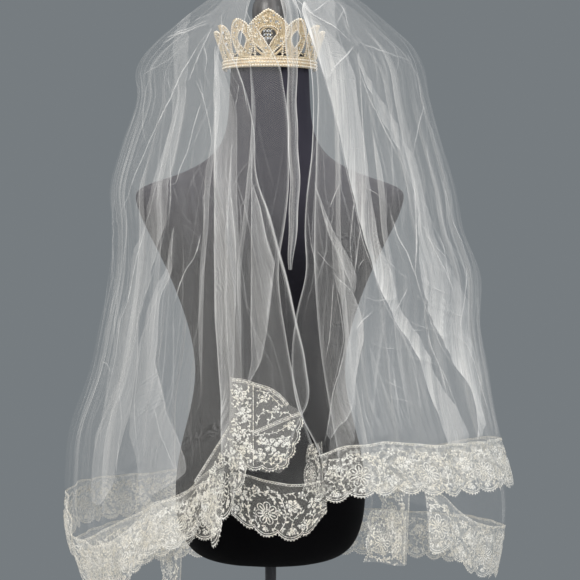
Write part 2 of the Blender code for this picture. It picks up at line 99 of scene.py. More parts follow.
# Camera and lights
CAMERA_PLACE = (0.028, -1.55, 0.72)
CAMERA_DIP = 6.2
CAMERA_LENS = 68.71
CAMERA_SENSOR = 36.0
STAGE_MIDDLE = (0.02, 0.0, 0.60)
LIGHTS = (
    # name, place, share of the key light's power, size, colour
    ("key_light", (-1.3, -2.0, 2.0), 1.00, 1.6, (1.0, 0.98, 0.95)),
    ("fill_light", (1.8, -1.5, 1.2), 0.50, 1.8, (0.96, 0.98, 1.0)),
    ("top_light", (0.1, 0.4, 2.4), 0.45, 1.4, (1.0, 1.0, 1.0)),
    ("back_light", (0.6, 2.2, 1.3), 0.22, 1.6, (1.0, 1.0, 1.0)),
)

VEIL_SECTIONS = (
    # height, left, right, front, back
    (0.100, 0.262, 0.322, 0.164, 0.200),
    (0.150, 0.270, 0.332, 0.168, 0.205),
    (0.215, 0.288, 0.341, 0.172, 0.208),
    (0.280, 0.284, 0.338, 0.170, 0.203),
    (0.350, 0.277, 0.318, 0.165, 0.190),
    (0.445, 0.245, 0.299, 0.156, 0.170),
    (0.500, 0.233, 0.289, 0.151, 0.160),
    (0.574, 0.218, 0.286, 0.143, 0.148),
    (0.645, 0.214, 0.262, 0.134, 0.141),
    (0.690, 0.217, 0.254, 0.126, 0.138),
    (0.750, 0.201, 0.236, 0.116, 0.133),
    (0.815, 0.178, 0.217, 0.111, 0.130),
    (0.865, 0.174, 0.205, 0.108, 0.125),
    (0.890, 0.155, 0.190, 0.106, 0.118),
    (0.910, 0.132, 0.168, 0.101, 0.108),
    (0.930, 0.108, 0.146, 0.092, 0.095),
    (0.951, 0.080, 0.118, 0.070, 0.075),
    (0.968, 0.060, 0.082, 0.042, 0.046),
    (0.984, 0.0465, 0.0465, 0.0127, 0.0127),
)
UPPER_LEFT_EDGE = (
    # height, across
    (0.280, 0.020),
    (0.345, 0.022),
    (0.407, 0.041),
    (0.421, 0.048),
    (0.472, 0.047),
    (0.533, 0.034),
    (0.581, 0.024),
    (0.621, 0.013),
    (0.662, 0.002),
    (0.707, -0.014),
    (0.776, -0.019),
    (0.820, -0.029),
    (0.855, -0.040),
    (0.882, -0.036),
    (0.930, -0.026),
    (0.984, -0.010),
)
UPPER_RIGHT_EDGE = (
    (0.281, 0.076),
    (0.356, 0.066),
    (0.420, 0.037),
    (0.480, 0.030),
    (0.532, 0.035),
    (0.591, 0.048),
    (0.643, 0.047),
    (0.681, 0.049),
    (0.745, 0.056),
    (0.846, 0.055),
    (0.880, 0.050),
    (0.933, 0.036),
    (0.984, 0.012),
)
LOWER_LEFT_EDGE = (
    (0.200, 0.073),
    (0.320, 0.072),
    (0.400, 0.046),
    (0.500, 0.024),
    (0.602, 0.014),
    (0.648, 0.021),
    (0.694, 0.026),
    (0.746, 0.027),
    (0.790, 0.025),
    (0.825, 0.020),
    (0.858, 0.013),
    (0.880, 0.000),
    (0.900, -0.014),
    (0.925, -0.028),
    (0.950, -0.024),
    (0.974, -0.010),
)
LOWER_RIGHT_EDGE = (
    (0.200, 0.104),
    (0.320, 0.094),
    (0.500, 0.066),
    (0.600, 0.059),
    (0.745, 0.062),
    (0.846, 0.062),
    (0.900, 0.052),
    (0.974, 0.012),
)
UPPER_HEADER = (
    # angle, height of the seam between tulle and lace
    (-180, 0.250),
    (-150, 0.240),
    (-120, 0.250),
    (-95, 0.264),
    (-80, 0.262),
    (-62, 0.226),
    (-48, 0.224),
    (-36, 0.252),
    (-29, 0.288),
    (-20, 0.302),
    (-12, 0.330),
    (0, 0.345),
    (8, 0.350),
    (15, 0.364),
    (25, 0.371),
    (38, 0.364),
    (60, 0.357),
    (75, 0.350),
    (95, 0.336),
    (120, 0.310),
    (150, 0.270),
    (180, 0.250),
)
LOWER_HEADER = (
    (-180, 0.172),
    (-140, 0.176),
    (-95, 0.192),
    (-60, 0.222),
    (-40, 0.262),
    (-20, 0.306),
    (-8, 0.332),
    (4, 0.316),
    (14, 0.322),
    (24, 0.300),
    (35, 0.282),
    (50, 0.256),
    (60, 0.240),
    (75, 0.226),
    (95, 0.208),
    (140, 0.182),
    (180, 0.172),
)
FOLDS = (
    # angle, half width, height
    (-168, 8.0, 0.011),
    (-149, 6.5, 0.014),
    (-133, 7.0, 0.010),
    (-118, 6.0, 0.013),
    (-103, 6.0, 0.009),
    (-88, 5.0, 0.010),
    (-76, 4.5, 0.007),
    (-63, 5.0, 0.011),
    (-50, 4.5, 0.009),
    (-38, 4.5, 0.012),
    (-27, 4.0, 0.007),
    (-11, 4.5, 0.012),
    (12, 3.5, 0.005),
    (21, 3.8, 0.010),
    (31, 4.2, 0.008),
    (41, 4.2, 0.013),
    (51, 4.2, 0.010),
    (62, 4.8, 0.012),
    (75, 5.0, 0.008),
    (88, 5.0, 0.011),
    (102, 6.0, 0.008),
    (117, 6.0, 0.013),
    (134, 7.0, 0.009),
    (152, 7.0, 0.013),
    (171, 7.5, 0.009),
)
FOLD_GROWTH = (
    # height, share of a fold's height
    (0.100, 1.00),
    (0.350, 1.00),
    (0.500, 0.80),
    (0.690, 0.42),
    (0.800, 0.50),
    (0.900, 0.40),
    (0.960, 0.10),
    (0.984, 0.00),
)
FLAP_OUTLINE = (
    # across, top, bottom
    (-0.047, 0.458, 0.346),
    (-0.030, 0.454, 0.344),
    (-0.012, 0.448, 0.342),
    (0.004, 0.442, 0.341),
    (0.017, 0.432, 0.342),
    (0.025, 0.424, 0.352),
    (0.034, 0.419, 0.373),
    (0.041, 0.414, 0.404),
)
STRIP_OUTLINE = (
    # height, middle, half width, depth in front
    (0.5920, 0.0290, 0.0020, 0.1290),
    (0.6200, 0.0310, 0.0045, 0.1275),
    (0.6800, 0.0330, 0.0062, 0.1160),
    (0.7600, 0.0325, 0.0066, 0.0950),
    (0.8200, 0.0310, 0.0064, 0.0790),
    (0.8550, 0.0302, 0.0066, 0.0740),
    (0.8800, 0.0300, 0.0078, 0.0780),
    (0.9100, 0.0300, 0.0095, 0.0830),
    (0.9350, 0.0270, 0.0095, 0.0810),
    (0.9600, 0.0200, 0.0080, 0.0560),
    (0.9750, 0.0120, 0.0050, 0.0240),
)

# Where the cloth doubles back on itself: added layers above and below, then rows of height, near edge and far
# edge in millimetres. Rows run down the cloth, and pleats come in the order met from the free front edge.
LEFT_PLEATS = {
    "lens": ((1.4, 1.4), (
        (790, -21, -20), (732, -21, -16), (690, -21, -7), (624, -21, 11), (567, -21, 5), (516, -21, -1),
        (478, -20, -8), (448, -26, -24),
    )),
    "column_core": ((1.6, 1.4), (
        (745, -47, -46), (694, -50, -47), (631, -51, -40), (554, -53, -38), (478, -50, -41),
        (427, -46, -45),
    )),
    "column": ((2.4, 3.4), (
        (872, -67, -66), (840, -67, -55), (796, -67, -40), (681, -67, -40), (605, -67, -36),
        (529, -67, -32), (427, -59, -31), (372, -57, -44), (352, -57, -55),
    )),
    "spray": ((1.4, 1.4), (
        (640, -121, -120), (590, -130, -124), (557, -144, -136), (526, -155, -138), (498, -166, -139),
        (471, -170, -142), (424, -174, -134), (384, -172, -119), (353, -169, -108), (330, -167, -106),
        (300, -166, -150),
    )),
    "side": ((0.8, 1.2), (
        (832, -104, -103), (797, -116, -108), (742, -134, -119), (707, -144, -126), (666, -154, -128),
        (606, -173, -143), (551, -184, -162), (522, -197, -170), (476, -203, -170), (421, -215, -178),
        (378, -221, -184), (326, -225, -195), (290, -227, -215),
    )),
}
RIGHT_PLEATS = {
    "twist": ((3.2, 3.2), (
        (700, 59, 60), (671, 68, 71), (637, 78, 84), (618, 87, 96), (591, 95, 108), (570, 104, 108),
    )),
    "fan": ((1.6, 1.6), (
        (584, 83, 84), (566, 88, 105), (536, 93, 117), (505, 97, 118), (474, 90, 113), (448, 84, 108),
        (414, 79, 104), (388, 74, 84),
    )),
    "diagonal": ((7.0, 5.0), (
        (925, 42, 50), (900, 50, 72), (872, 60, 96), (840, 71, 111), (809, 81, 113), (784, 86, 117),
        (744, 95, 123), (704, 104, 127), (666, 113, 134), (630, 121, 139), (590, 135, 153),
        (550, 149, 164), (524, 163, 176), (493, 181, 195), (466, 192, 208), (440, 201, 220),
        (410, 212, 238), (380, 226, 252), (350, 240, 262),
    )),
    "outer": ((1.2, 4.8), (
        (861, 113, 115), (838, 120, 124), (804, 135, 147), (765, 155, 168), (733, 172, 189),
        (694, 188, 198), (664, 192, 204), (628, 193, 212), (588, 190, 237), (556, 199, 251),
        (524, 211, 267), (490, 226, 269), (459, 246, 278), (430, 262, 284), (400, 270, 284),
        (372, 272, 276),
    )),
}
# Sharp creases: half width, ridge height and added layers, then places as height and across in millimetres
LEFT_CREASES = (
    (2.2, 1.5, 1.6, ((846, -168), (852, -152), (859, -134), (875, -115))),
    (2.0, 1.5, 1.4, ((843, -156), (827, -163), (799, -167), (776, -167), (754, -161))),
    (2.2, 2.0, 2.6, ((885, -141), (893, -123), (902, -97), (909, -73))),
    (2.0, 1.5, 2.2, ((892, -136), (899, -113), (912, -76))),
    (1.8, 1.0, 1.2, ((912, -98), (918, -84), (923, -70))),
    (2.4, 2.5, 2.8, ((904, -71), (884, -86), (850, -109), (803, -132), (762, -154), (713, -176), (684, -186),
                     (650, -205))),
    (1.8, 1.5, 2.2, ((884, -84), (861, -78), (841, -82))),
    (2.2, 2.0, 2.6, ((904, -71), (867, -89), (832, -104))),
    (1.9, 1.5, 2.4, ((813, -84), (781, -95), (745, -104), (720, -115), (703, -118), (699, -131))),
    (1.6, 1.2, 2.0, ((837, -95), (820, -86), (779, -75), (745, -71))),
    (1.7, 1.5, 1.6, ((747, -127), (682, -126), (640, -130))),
    (2.0, 2.0, 2.6, ((920, -60), (886, -59), (868, -49), (846, -37), (823, -31), (790, -25))),
    (1.6, 1.2, 1.8, ((832, -37), (796, -43))),
    (1.8, 1.5, 1.6, ((682, -209), (643, -215), (581, -214), (562, -206))),
    (1.8, 1.5, 1.6, ((679, -189), (632, -189), (586, -196), (547, -202), (519, -206), (467, -206))),
    (1.7, 1.6, 2.8, ((640, -86), (610, -93), (594, -105), (572, -114), (550, -121), (543, -125))),
    (1.8, 1.2, 1.6, ((463, -226), (464, -217), (451, -210))),
    (2.0, 1.5, 2.0, ((700, -54), (660, -52), (630, -51))),
    (1.7, 1.5, 2.0, ((420, -150), (380, -138), (350, -126), (318, -112))),
    (1.7, 1.2, 1.6, ((430, -196), (390, -192), (350, -196), (300, -200))),
)
RIGHT_CREASES = (
    (2.2, 2.5, 3.2, ((970, 24), (939, 36), (919, 55), (912, 68), (902, 85), (890, 100), (880, 112))),
    (2.4, 2.5, 3.0, ((880, 112), (864, 99), (850, 85), (837, 77))),
    (2.0, 2.0, 2.2, ((880, 112), (842, 119), (797, 121), (720, 125), (681, 126))),
    (2.4, 1.5, 1.8, ((884, 115), (878, 132), (872, 152), (863, 188))),
    (1.8, 1.5, 1.8, ((941, 86), (930, 97), (893, 106))),
    (1.6, 1.2, 1.6, ((930, 100), (904, 87))),
    (1.7, 1.2, 1.8, ((919, 54), (925, 64), (941, 80))),
    (1.8, 1.5, 2.4, ((848, 117), (809, 132), (765, 155), (735, 169))),
    (2.0, 1.5, 1.8, ((812, 208), (766, 195), (737, 189))),
    (1.7, 1.5, 2.2, ((706, 94), (688, 86), (670, 78))),
    (1.6, 1.2, 1.5, ((667, 51), (631, 54), (604, 60), (582, 69))),
    (1.8, 1.5, 2.6, ((582, 84), (546, 82), (506, 79), (477, 73))),
    (2.0, 1.5, 2.0, ((690, 112), (666, 109), (626, 105), (586, 108))),
    (2.0, 1.5, 2.2, ((650, 120), (635, 117), (600, 112), (579, 109))),
    (2.0, 1.5, 2.2, ((540, 135), (529, 122), (514, 109))),
    (1.6, 1.2, 1.8, ((608, 125), (597, 115), (589, 115))),
    (2.2, 2.0, 2.8, ((665, 158), (634, 168), (612, 180), (584, 191), (560, 197))),
    (2.2, 2.0, 2.8, ((700, 190), (674, 192), (629, 193), (589, 190))),
    (2.0, 1.5, 2.4, ((524, 205), (491, 212), (459, 226), (423, 236))),
    (2.0, 1.8, 2.6, ((523, 245), (504, 245), (488, 264), (441, 283), (407, 294), (361, 308))),
    (1.6, 1.0, 1.6, ((515, 183), (512, 203))),
    (1.6, 1.2, 2.0, ((537, 230), (526, 259))),
    (1.6, 1.0, 1.6, ((453, 147), (438, 173), (431, 183))),
    (1.8, 1.2, 2.0, ((539, 163), (558, 176), (571, 181))),
    (2.0, 1.5, 2.0, ((706, 231), (659, 244), (618, 262), (590, 270))),
    (2.0, 2.0, 2.8, ((490, 98), (462, 90), (440, 84), (400, 78), (372, 72))),
    (1.8, 1.5, 2.0, ((470, 222), (440, 236), (400, 250), (372, 258))),
    (1.8, 1.5, 2.0, ((480, 252), (440, 268), (400, 280), (366, 290))),
    (1.6, 1.2, 1.6, ((440, 120), (410, 124), (380, 134))),
    (1.6, 1.2, 1.6, ((460, 160), (420, 168), (385, 180))),
    (1.6, 1.2, 1.6, ((628, 214), (612, 226), (600, 238), (590, 246))),
    (1.5, 1.0, 1.5, ((600, 206), (590, 222), (584, 238))),
    (1.6, 1.2, 1.8, ((575, 200), (566, 216), (560, 232), (548, 246))),
    (1.4, 1.0, 1.4, ((560, 190), (548, 204), (540, 222))),
    (1.6, 1.2, 1.8, ((640, 222), (618, 232), (590, 234), (560, 242))),
    (1.5, 1.0, 1.4, ((552, 228), (534, 240), (520, 254))),
    (1.6, 1.2, 1.6, ((530, 176), (518, 196), (512, 216), (500, 232))),
    (1.5, 1.0, 1.5, ((610, 150), (590, 166), (578, 184))),
    (1.6, 1.2, 1.6, ((560, 120), (552, 140), (556, 160), (548, 180))),
    (1.4, 1.0, 1.4, ((500, 130), (492, 150), (490, 172))),
    (1.5, 1.2, 1.6, ((480, 180), (474, 205), (462, 228))),
    (1.5, 1.0, 1.5, ((430, 150), (424, 176), (412, 200))),
    (1.5, 1.2, 1.6, ((700, 120), (690, 140), (672, 156))),
    (1.4, 1.0, 1.4, ((660, 70), (640, 84), (632, 100))),
    (1.4, 1.0, 1.5, ((620, 60), (600, 76), (590, 92))),
    (4.5, 1.6, 0.9, ((530, 150), (480, 142), (430, 136), (380, 133))),
    (4.0, 1.6, 0.9, ((540, 112), (480, 120), (430, 128), (385, 146))),
    (5.0, 1.8, 1.0, ((505, 160), (470, 160), (420, 166), (380, 172))),
    (4.0, 1.6, 0.9, ((520, 170), (480, 184), (440, 194), (400, 199))),
    (3.5, 1.4, 0.9, ((500, 128), (450, 146), (410, 160), (372, 166))),
    (1.6, 1.4, 2.2, ((668, 190), (640, 205), (600, 226), (575, 238), (530, 253))),
    (1.6, 1.4, 2.2, ((602, 250), (586, 266), (560, 262), (514, 253), (495, 262), (470, 274))),
)

# ---------------------------------------------------------------- surfaces


def smooth_value(table, column, at):
    """A smooth curve through one column of a table whose first column rises."""
    known = np.array([row[0] for row in table], float)
    values = np.array([row[column] for row in table], float)
    slopes = np.gradient(values, known)
    at = np.clip(at, known[0], known[-1])
    i = np.clip(np.searchsorted(known, at, side="right") - 1, 0, len(known) - 2)
    step = known[i + 1] - known[i]
    t = (at - known[i]) / step
    start = (1 + 2 * t) * (1 - t) ** 2 * values[i] + t * (1 - t) ** 2 * step * slopes[i]
    end = t * t * (3 - 2 * t) * values[i + 1] + t * t * (t - 1) * step * slopes[i + 1]
    return start + end


def ramp(value, low, high):
    """0 below low, 1 above high, and smooth between."""
    t = np.clip((value - low) / (high - low), 0.0, 1.0)
    return t * t * (3 - 2 * t)


def bell(distance):
    return np.exp(-distance * distance)


def wrapped(angle):
    return (angle + 180) % 360 - 180


def reached_along(line):
    """How far each point of a line lies along it from its first."""
    return np.concatenate([[0], np.cumsum(np.linalg.norm(np.diff(line, axis=0), axis=1))])


def unit(turn):
    """The unit step in a flat direction, from a turn in radians."""
    return np.array((math.cos(turn), math.sin(turn)))


def section_sizes(height, lower):
    """Left, right, front and back of a tier at a height."""
    if not lower:
        return [smooth_value(VEIL_SECTIONS, k, height) for k in (1, 2, 3, 4)]
    raised = height + (UPPER_TOP - LOWER_TOP) * ramp(height, 0.80, 0.90)
    inset = LOWER_INSET * (1 - ramp(height, 0.93, LOWER_TOP))
    return [smooth_value(VEIL_SECTIONS, k, raised) - inset for k in (1, 2, 3, 4)]


def on_section(angle, height, outwards, lower):
    """Points of a tier's section at angles and heights, moved outwards."""
    left, right, front, back = section_sizes(height, lower)
    sine, cosine = np.sin(np.radians(angle)), np.cos(np.radians(angle))
    across = np.where(sine >= 0, right, left) + outwards
    deep = np.where(cosine >= 0, front, back) + outwards
    power = 2 / ROUNDNESS
    x = np.sign(sine) * np.abs(sine) ** power * across
    y = -np.sign(cosine) * np.abs(cosine) ** power * deep
    return np.stack([x, y, height + 0 * x], axis=-1)


def angle_of(across, height, lower):
    """The angle at which a front section reaches a distance across."""
    left, right, _, _ = section_sizes(height, lower)
    share = np.minimum(np.abs(across) / np.where(across >= 0, right, left), 1.0)
    return np.sign(across) * np.degrees(np.arcsin(share ** (ROUNDNESS / 2)))


def fold_height(angle, height, lower):
    """How far the large folds move the cloth out at an angle of the hem."""
    ridges = sum(tall * bell(wrapped(angle - middle) / half) for middle, half, tall in FOLDS)
    share = 0.7 if lower else 1.0
    return share * (ridges - VALLEY_DEPTH) * smooth_value(FOLD_GROWTH, 1, height)


class Tier:
    """One tier: where its front edges run, where its tulle ends, and its surface."""

    def __init__(self, name, left_edge, right_edge, header, top, lace):
        self.name = name
        self.edges = {-1: left_edge, 1: right_edge}
        self.header_table = header
        self.top = top
        self.lace = lace
        self.lower = name == "lower"

    def edge_angle(self, side, height):
        return angle_of(smooth_value(self.edges[side], 1, height), height, self.lower)

    def hem_edge(self, side):
        """The angle of a front edge at the hem, from which folds are counted."""
        return self.edge_angle(side, self.edges[side][1][0])

    def header(self, angle):
        return smooth_value(self.header_table, 1, wrapped(angle))

    def hem_angle(self, side, share):
        """The hem angle at a share of the way from a stretch's seam to its free edge."""
        if side == 0:
            return SIDE_ANGLE + share * (360 - 2 * SIDE_ANGLE)
        return side * SIDE_ANGLE + share * (self.hem_edge(side) - side * SIDE_ANGLE)

    def share_at(self, side, across, height):
        """The share of the way to the free edge at which a front stretch reaches a distance across."""
        seam = side * SIDE_ANGLE
        angle = angle_of(across, height, self.lower)
        return (angle - seam) / (self.edge_angle(side, height) - seam)

    def surface(self, side, hem_angle, height, outwards=0.0):
        """Points on the lines that reach the hem at the given angles. side is -1, 1, or 0 for the back."""
        angle = hem_angle
        if side:
            seam = side * SIDE_ANGLE
            reach = self.edge_angle(side, height) - seam
            angle = seam + (hem_angle - seam) * reach / (self.hem_edge(side) - seam)
        lift = fold_height(hem_angle, height, self.lower)
        if side == -1 and not self.lower:
            near_edge = ramp(hem_angle, self.hem_edge(-1) - 16, self.hem_edge(-1) - 4)
            lift = lift + CROSS_LIFT * near_edge * (1 - ramp(height, 0.52, 0.62))
        return on_section(angle, height, lift + outwards, self.lower)


UPPER = Tier("upper", UPPER_LEFT_EDGE, UPPER_RIGHT_EDGE, UPPER_HEADER, UPPER_TOP, 0.068)
LOWER = Tier("lower", LOWER_LEFT_EDGE, LOWER_RIGHT_EDGE, LOWER_HEADER, LOWER_TOP, 0.074)
SIDE_NAMES = {-1: "left", 0: "back", 1: "right"}


# ---------------------------------------------------------------- meshes and materials


def object_of(name, mesh):
    obj = bpy.data.objects.new(name, mesh)
    bpy.context.scene.collection.objects.link(obj)
    return obj


def fit(piece, node=None):
    """Puts a piece on the body, and in place of the node that it stands for."""
    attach(piece, BODY)
    if node:
        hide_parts(node)
    return piece


def grid_faces(rows, columns, first=0):
    """Faces of a grid of points that is counted row by row."""
    corner = (np.arange(rows - 1)[:, None] * columns + np.arange(columns - 1)[None, :]).reshape(-1, 1) + first
    return corner + np.array((0, columns, columns + 1, 1))


def sheet_mesh(name, points, layers, maps):
    """A smooth mesh of a grid of points, with UV maps and point attributes."""
    rows, columns = points.shape[:2]
    faces = grid_faces(rows, columns)
    mesh = bpy.data.meshes.new(name)
    mesh.from_pydata(points.reshape(-1, 3).tolist(), [], faces.tolist())
    corners = np.empty(len(mesh.loops), dtype=np.int32)
    mesh.loops.foreach_get("vertex_index", corners)
    for map_name, values in maps.items():
        uv = mesh.uv_layers.new(name=map_name)
        uv.data.foreach_set("uv", values.reshape(-1, 2)[corners].astype(np.float32).ravel())
    for layer_name, values in layers.items():
        attribute = mesh.attributes.new(layer_name, "FLOAT", "POINT")
        attribute.data.foreach_set("value", values.astype(np.float32).ravel())
    mesh.shade_smooth()
    return mesh


SOCKETS = {
    "specular": "Specular IOR Level",
    "sheen": "Sheen Weight",
    "sheen_roughness": "Sheen Roughness",
    "metallic": "Metallic",
    "coat": "Coat Weight",
    "transmission": "Transmission Weight",
    "ior": "IOR",
}


class Shader:
    """Builds a material's nodes, left to right, in plain calls."""

    def __init__(self, name, colour, roughness, **values):
        self.material = bpy.data.materials.new(name)
        self.material.use_nodes = True
        self.nodes = self.material.node_tree.nodes
        self.links = self.material.node_tree.links
        self.surface = self.nodes["Principled BSDF"]
        self.surface.inputs["Base Color"].default_value = (*colour, 1.0)
        self.surface.inputs["Roughness"].default_value = roughness
        self.material.diffuse_color = (*colour, 1.0)
        for socket, value in values.items():
            self.surface.inputs[SOCKETS[socket]].default_value = value

    def put(self, value, socket):
        if hasattr(value, "is_output"):
            self.links.new(value, socket)
        elif value is not None:
            socket.default_value = value

    def add(self, kind, output=0, inputs=(), **settings):
        node = self.nodes.new(kind)
        for name, value in settings.items():
            setattr(node, name, value)
        for place, value in enumerate(inputs):
            self.put(value, node.inputs[place])
        return node.outputs[output]

    def math(self, operation, *values):
        return self.add("ShaderNodeMath", 0, values, operation=operation)

    def uv(self, name):
        return self.add("ShaderNodeUVMap", 0, uv_map=name)

    def place(self):
        return self.add("ShaderNodeTexCoord", 3)

    def attribute(self, name):
        return self.add("ShaderNodeAttribute", 2, attribute_name=name)

    def scaled(self, vector, x, y, z=1.0, turn=0.0):
        return self.add("ShaderNodeMapping", 0, (vector, (0, 0, 0), (0, 0, turn), (x, y, z)))

    def noise(self, vector, scale, detail=3.0, roughness=0.55):
        return self.add("ShaderNodeTexNoise", 0, (vector, None, scale, detail, roughness))

    def between(self, value, low, high, out_low=0.0, out_high=1.0):
        """A value's range, mapped smoothly on another and kept inside it."""
        return self.add(
            "ShaderNodeMapRange", 0, (value, low, high, out_low, out_high), interpolation_type="SMOOTHSTEP"
        )

    def mix(self, share, first, second):
        """A colour between two others."""
        node = self.nodes.new("ShaderNodeMix")
        node.data_type = "RGBA"
        self.put(share, node.inputs[0])
        for place, value in ((6, first), (7, second)):
            if isinstance(value, tuple) and len(value) == 3:
                value = (*value, 1.0)
            self.put(value, node.inputs[place])
        return node.outputs[2]

    def bump(self, height, strength, distance):
        node = self.nodes.new("ShaderNodeBump")
        node.inputs["Strength"].default_value = strength
        node.inputs["Distance"].default_value = distance
        self.links.new(height, node.inputs["Height"])
        self.links.new(node.outputs["Normal"], self.surface.inputs["Normal"])

    def to(self, socket, value):
        self.put(value, self.surface.inputs[socket])

    def net(self, uv, cell, level):
        """A hexagonal net: 1 on its threads, where its waves fall below a level, and 0 in its holes."""
        waves = []
        for turn in (0.0, 60.0, 120.0):
            across = (*unit(math.radians(turn)), 0.0)
            dot = self.add("ShaderNodeVectorMath", 1, (uv, across), operation="DOT_PRODUCT")
            waves.append(self.math("COSINE", self.math("MULTIPLY", dot, 4 * math.pi / math.sqrt(3) / cell)))
        total = self.math("ADD", self.math("ADD", waves[0], waves[1]), waves[2])
        return self.between(total, level - THREAD_EDGE, level + THREAD_EDGE, 1.0, 0.0)

    def netted(self, cover, filled):
        """Alpha of a net whose threads cover a share of it, with its holes filled by a share of their own."""
        open_share = self.math("SUBTRACT", 1.0, cover)
        self.to("Alpha", self.math("MULTIPLY_ADD", open_share, filled, cover))
        return self.material


# ---------------------------------------------------------------- tulle


RIDGE_WIDTH = 2.2
FAR_AWAY = 9.0
PINCH = (
    # place across a crease, share of its layers
    (-1.0, 0.0),
    (-0.42, 0.30),
    (0.0, 1.0),
    (0.42, 0.42),
    (1.0, 0.0),
)


def crease_relief(creases, across, height):
    """Height of the soft ridges under the sharp creases, at points seen from the front."""
    ridge = 0 * across
    for half, tall, _, places in creases:
        line = np.array(places, float)[:, ::-1] * MM
        nearest = np.full(across.shape, FAR_AWAY)
        for first, last in zip(line, line[1:]):
            run = last - first
            t = ((across - first[0]) * run[0] + (height - first[1]) * run[1]) / (run @ run)
            t = np.clip(t, 0, 1)
            away = np.hypot(across - first[0] - t * run[0], height - first[1] - t * run[1])
            nearest = np.minimum(nearest, away)
        ridge += tall * MM * bell(nearest / (RIDGE_WIDTH * half * MM))
    return ridge


def pinched_line(line, half, tall, layers, draw):
    """Points and added layers of one pinched crease along points of (place, normal), tapered at its ends."""
    places = np.array([place for place, _ in line])
    normals = np.array([normal for _, normal in line])
    count = len(places)
    share = np.linspace(0, 1, count)
    ahead = np.gradient(places, axis=0)
    side = np.cross(ahead, normals)
    side /= np.maximum(np.linalg.norm(side, axis=1, keepdims=True), 1e-9)
    swell = np.clip(np.minimum(share / 0.16, (1 - share) / 0.30), 0, 1) ** 0.7
    beat = 0.78 + 0.22 * np.sin(draw.uniform(0, 6) + draw.uniform(5, 12) * share)
    points, added = [], []
    for k, full in PINCH:
        width = half * (0.45 + 0.55 * swell) * k * (1.0 if k < 0 else draw.uniform(0.8, 1.7))
        rise = 0.0004 + tall * (1 - abs(k)) ** 1.5 * swell
        points.append(places + side * width[:, None] + normals * rise[:, None])
        added.append(layers * swell * beat * full)
    return np.stack(points, axis=1), np.stack(added, axis=1)


def kinked(places, draw, step=0.0030, stray=0.0004):
    """Places a step apart along a line of straight runs, with slightly eased corners."""
    line = np.array(places, float)
    reached = reached_along(line)
    at = np.linspace(0, reached[-1], max(5, int(reached[-1] / step)))
    found = np.zeros((len(at), line.shape[1]))
    for shift in (-0.004, 0.0, 0.004):
        near = np.clip(at + shift, 0, reached[-1])
        found += np.stack([np.interp(near, reached, line[:, k]) for k in range(line.shape[1])], axis=1) / 3
    phase, wave = draw.uniform(0, 6), draw.uniform(0.020, 0.050)
    found[:, 0] += stray * np.sin(phase + 2 * math.pi * at / wave)
    return found


def pleat_lines(tables):
    """The turns of tabled pleats as creases: a pleat's first edge is sharp and its second is fainter."""
    lines = []
    for _, places in tables.values():
        for column, layers in ((1, 1.7), (2, 0.8)):
            lines.append((1.4, 0.6, layers, tuple((row[0], row[column]) for row in places)))
    return tuple(lines)


def make_creases(name, tier, side, points, creases, seeded, look):
    """Sharp creases as pinched ridges of the same cloth, laid on a folded sheet."""
    rows, columns = points.shape[:2]
    tree = BVHTree.FromPolygons(points.reshape(-1, 3).tolist(), grid_faces(rows, columns).tolist())
    draw = random.Random(7 * rows + side)
    lines = []
    for half, tall, layers, places in creases:
        line = []
        for height, across in kinked(np.array(places, float) * MM, draw):
            hit, normal, _, _ = tree.ray_cast(Vector((across, -0.4, height)), Vector((0, 1, 0)))
            if hit is not None:
                line.append((hit, normal if normal.y < 0 else -normal))
        lines.append((line, 0.62 * half * MM, 0.6 * tall * MM, 4.6 * layers))
    count, low, high, strength = seeded
    for _ in range(count):
        angle, top = draw.uniform(low, high), draw.uniform(0.0, 0.72)
        length = draw.choice((0.10, 0.16, 0.26, 0.40))
        drift = draw.uniform(-7, 7) * (2.2 if draw.random() < 0.25 else 1.0)
        along = np.linspace(0, 1, 10 + int(110 * length))
        bends = (draw.uniform(0.3, 0.5), draw.uniform(0.1, 0.6))
        turned_by = drift * np.interp(along, (0.0, bends[0], 0.8, 1.0), (0.0, bends[1], 0.8, 1.0))
        hem = angle + np.convolve(np.pad(turned_by, 2, mode="edge"), np.ones(5) / 5, mode="valid")
        share = np.minimum(top + length * along, 0.97)
        height = tier.top + (tier.header(hem) - tier.top) * share
        line = []
        for place in tier.surface(side, hem, height, 0.004):
            hit, normal, _, _ = tree.find_nearest(Vector(place))
            out = Vector((hit.x, hit.y, 0.0))
            line.append((hit, normal if normal.dot(out) > 0 else -normal))
        half, tall = draw.uniform(0.0008, 0.0017), draw.uniform(0.0002, 0.0009)
        lines.append((line, half, tall, strength * draw.uniform(0.5, 2.0)))
    whole, layers_of, faces, start = [], [], [], 0
    for line, half, tall, layers in lines:
        if len(line) > 4:
            grid, added = pinched_line(line, half, tall, layers, draw)
            faces += [tuple(int(i) + start for i in face) for face in grid_faces(*grid.shape[:2])]
            start += grid.shape[0] * grid.shape[1]
            whole.append(grid.reshape(-1, 3))
            layers_of.append(added.ravel())
    mesh = bpy.data.meshes.new(f"{name}_creases")
    mesh.from_pydata(np.concatenate(whole).tolist(), [], faces)
    haze = mesh.attributes.new("haze", "FLOAT", "POINT")
    cover = 1 - (1 - look.tulle_cover) ** np.concatenate(layers_of)
    haze.data.foreach_set("value", cover.astype(np.float32))
    mesh.shade_smooth()
    mesh.materials.append(crease_material(look))
    return fit(object_of(f"{name}_creases", mesh))


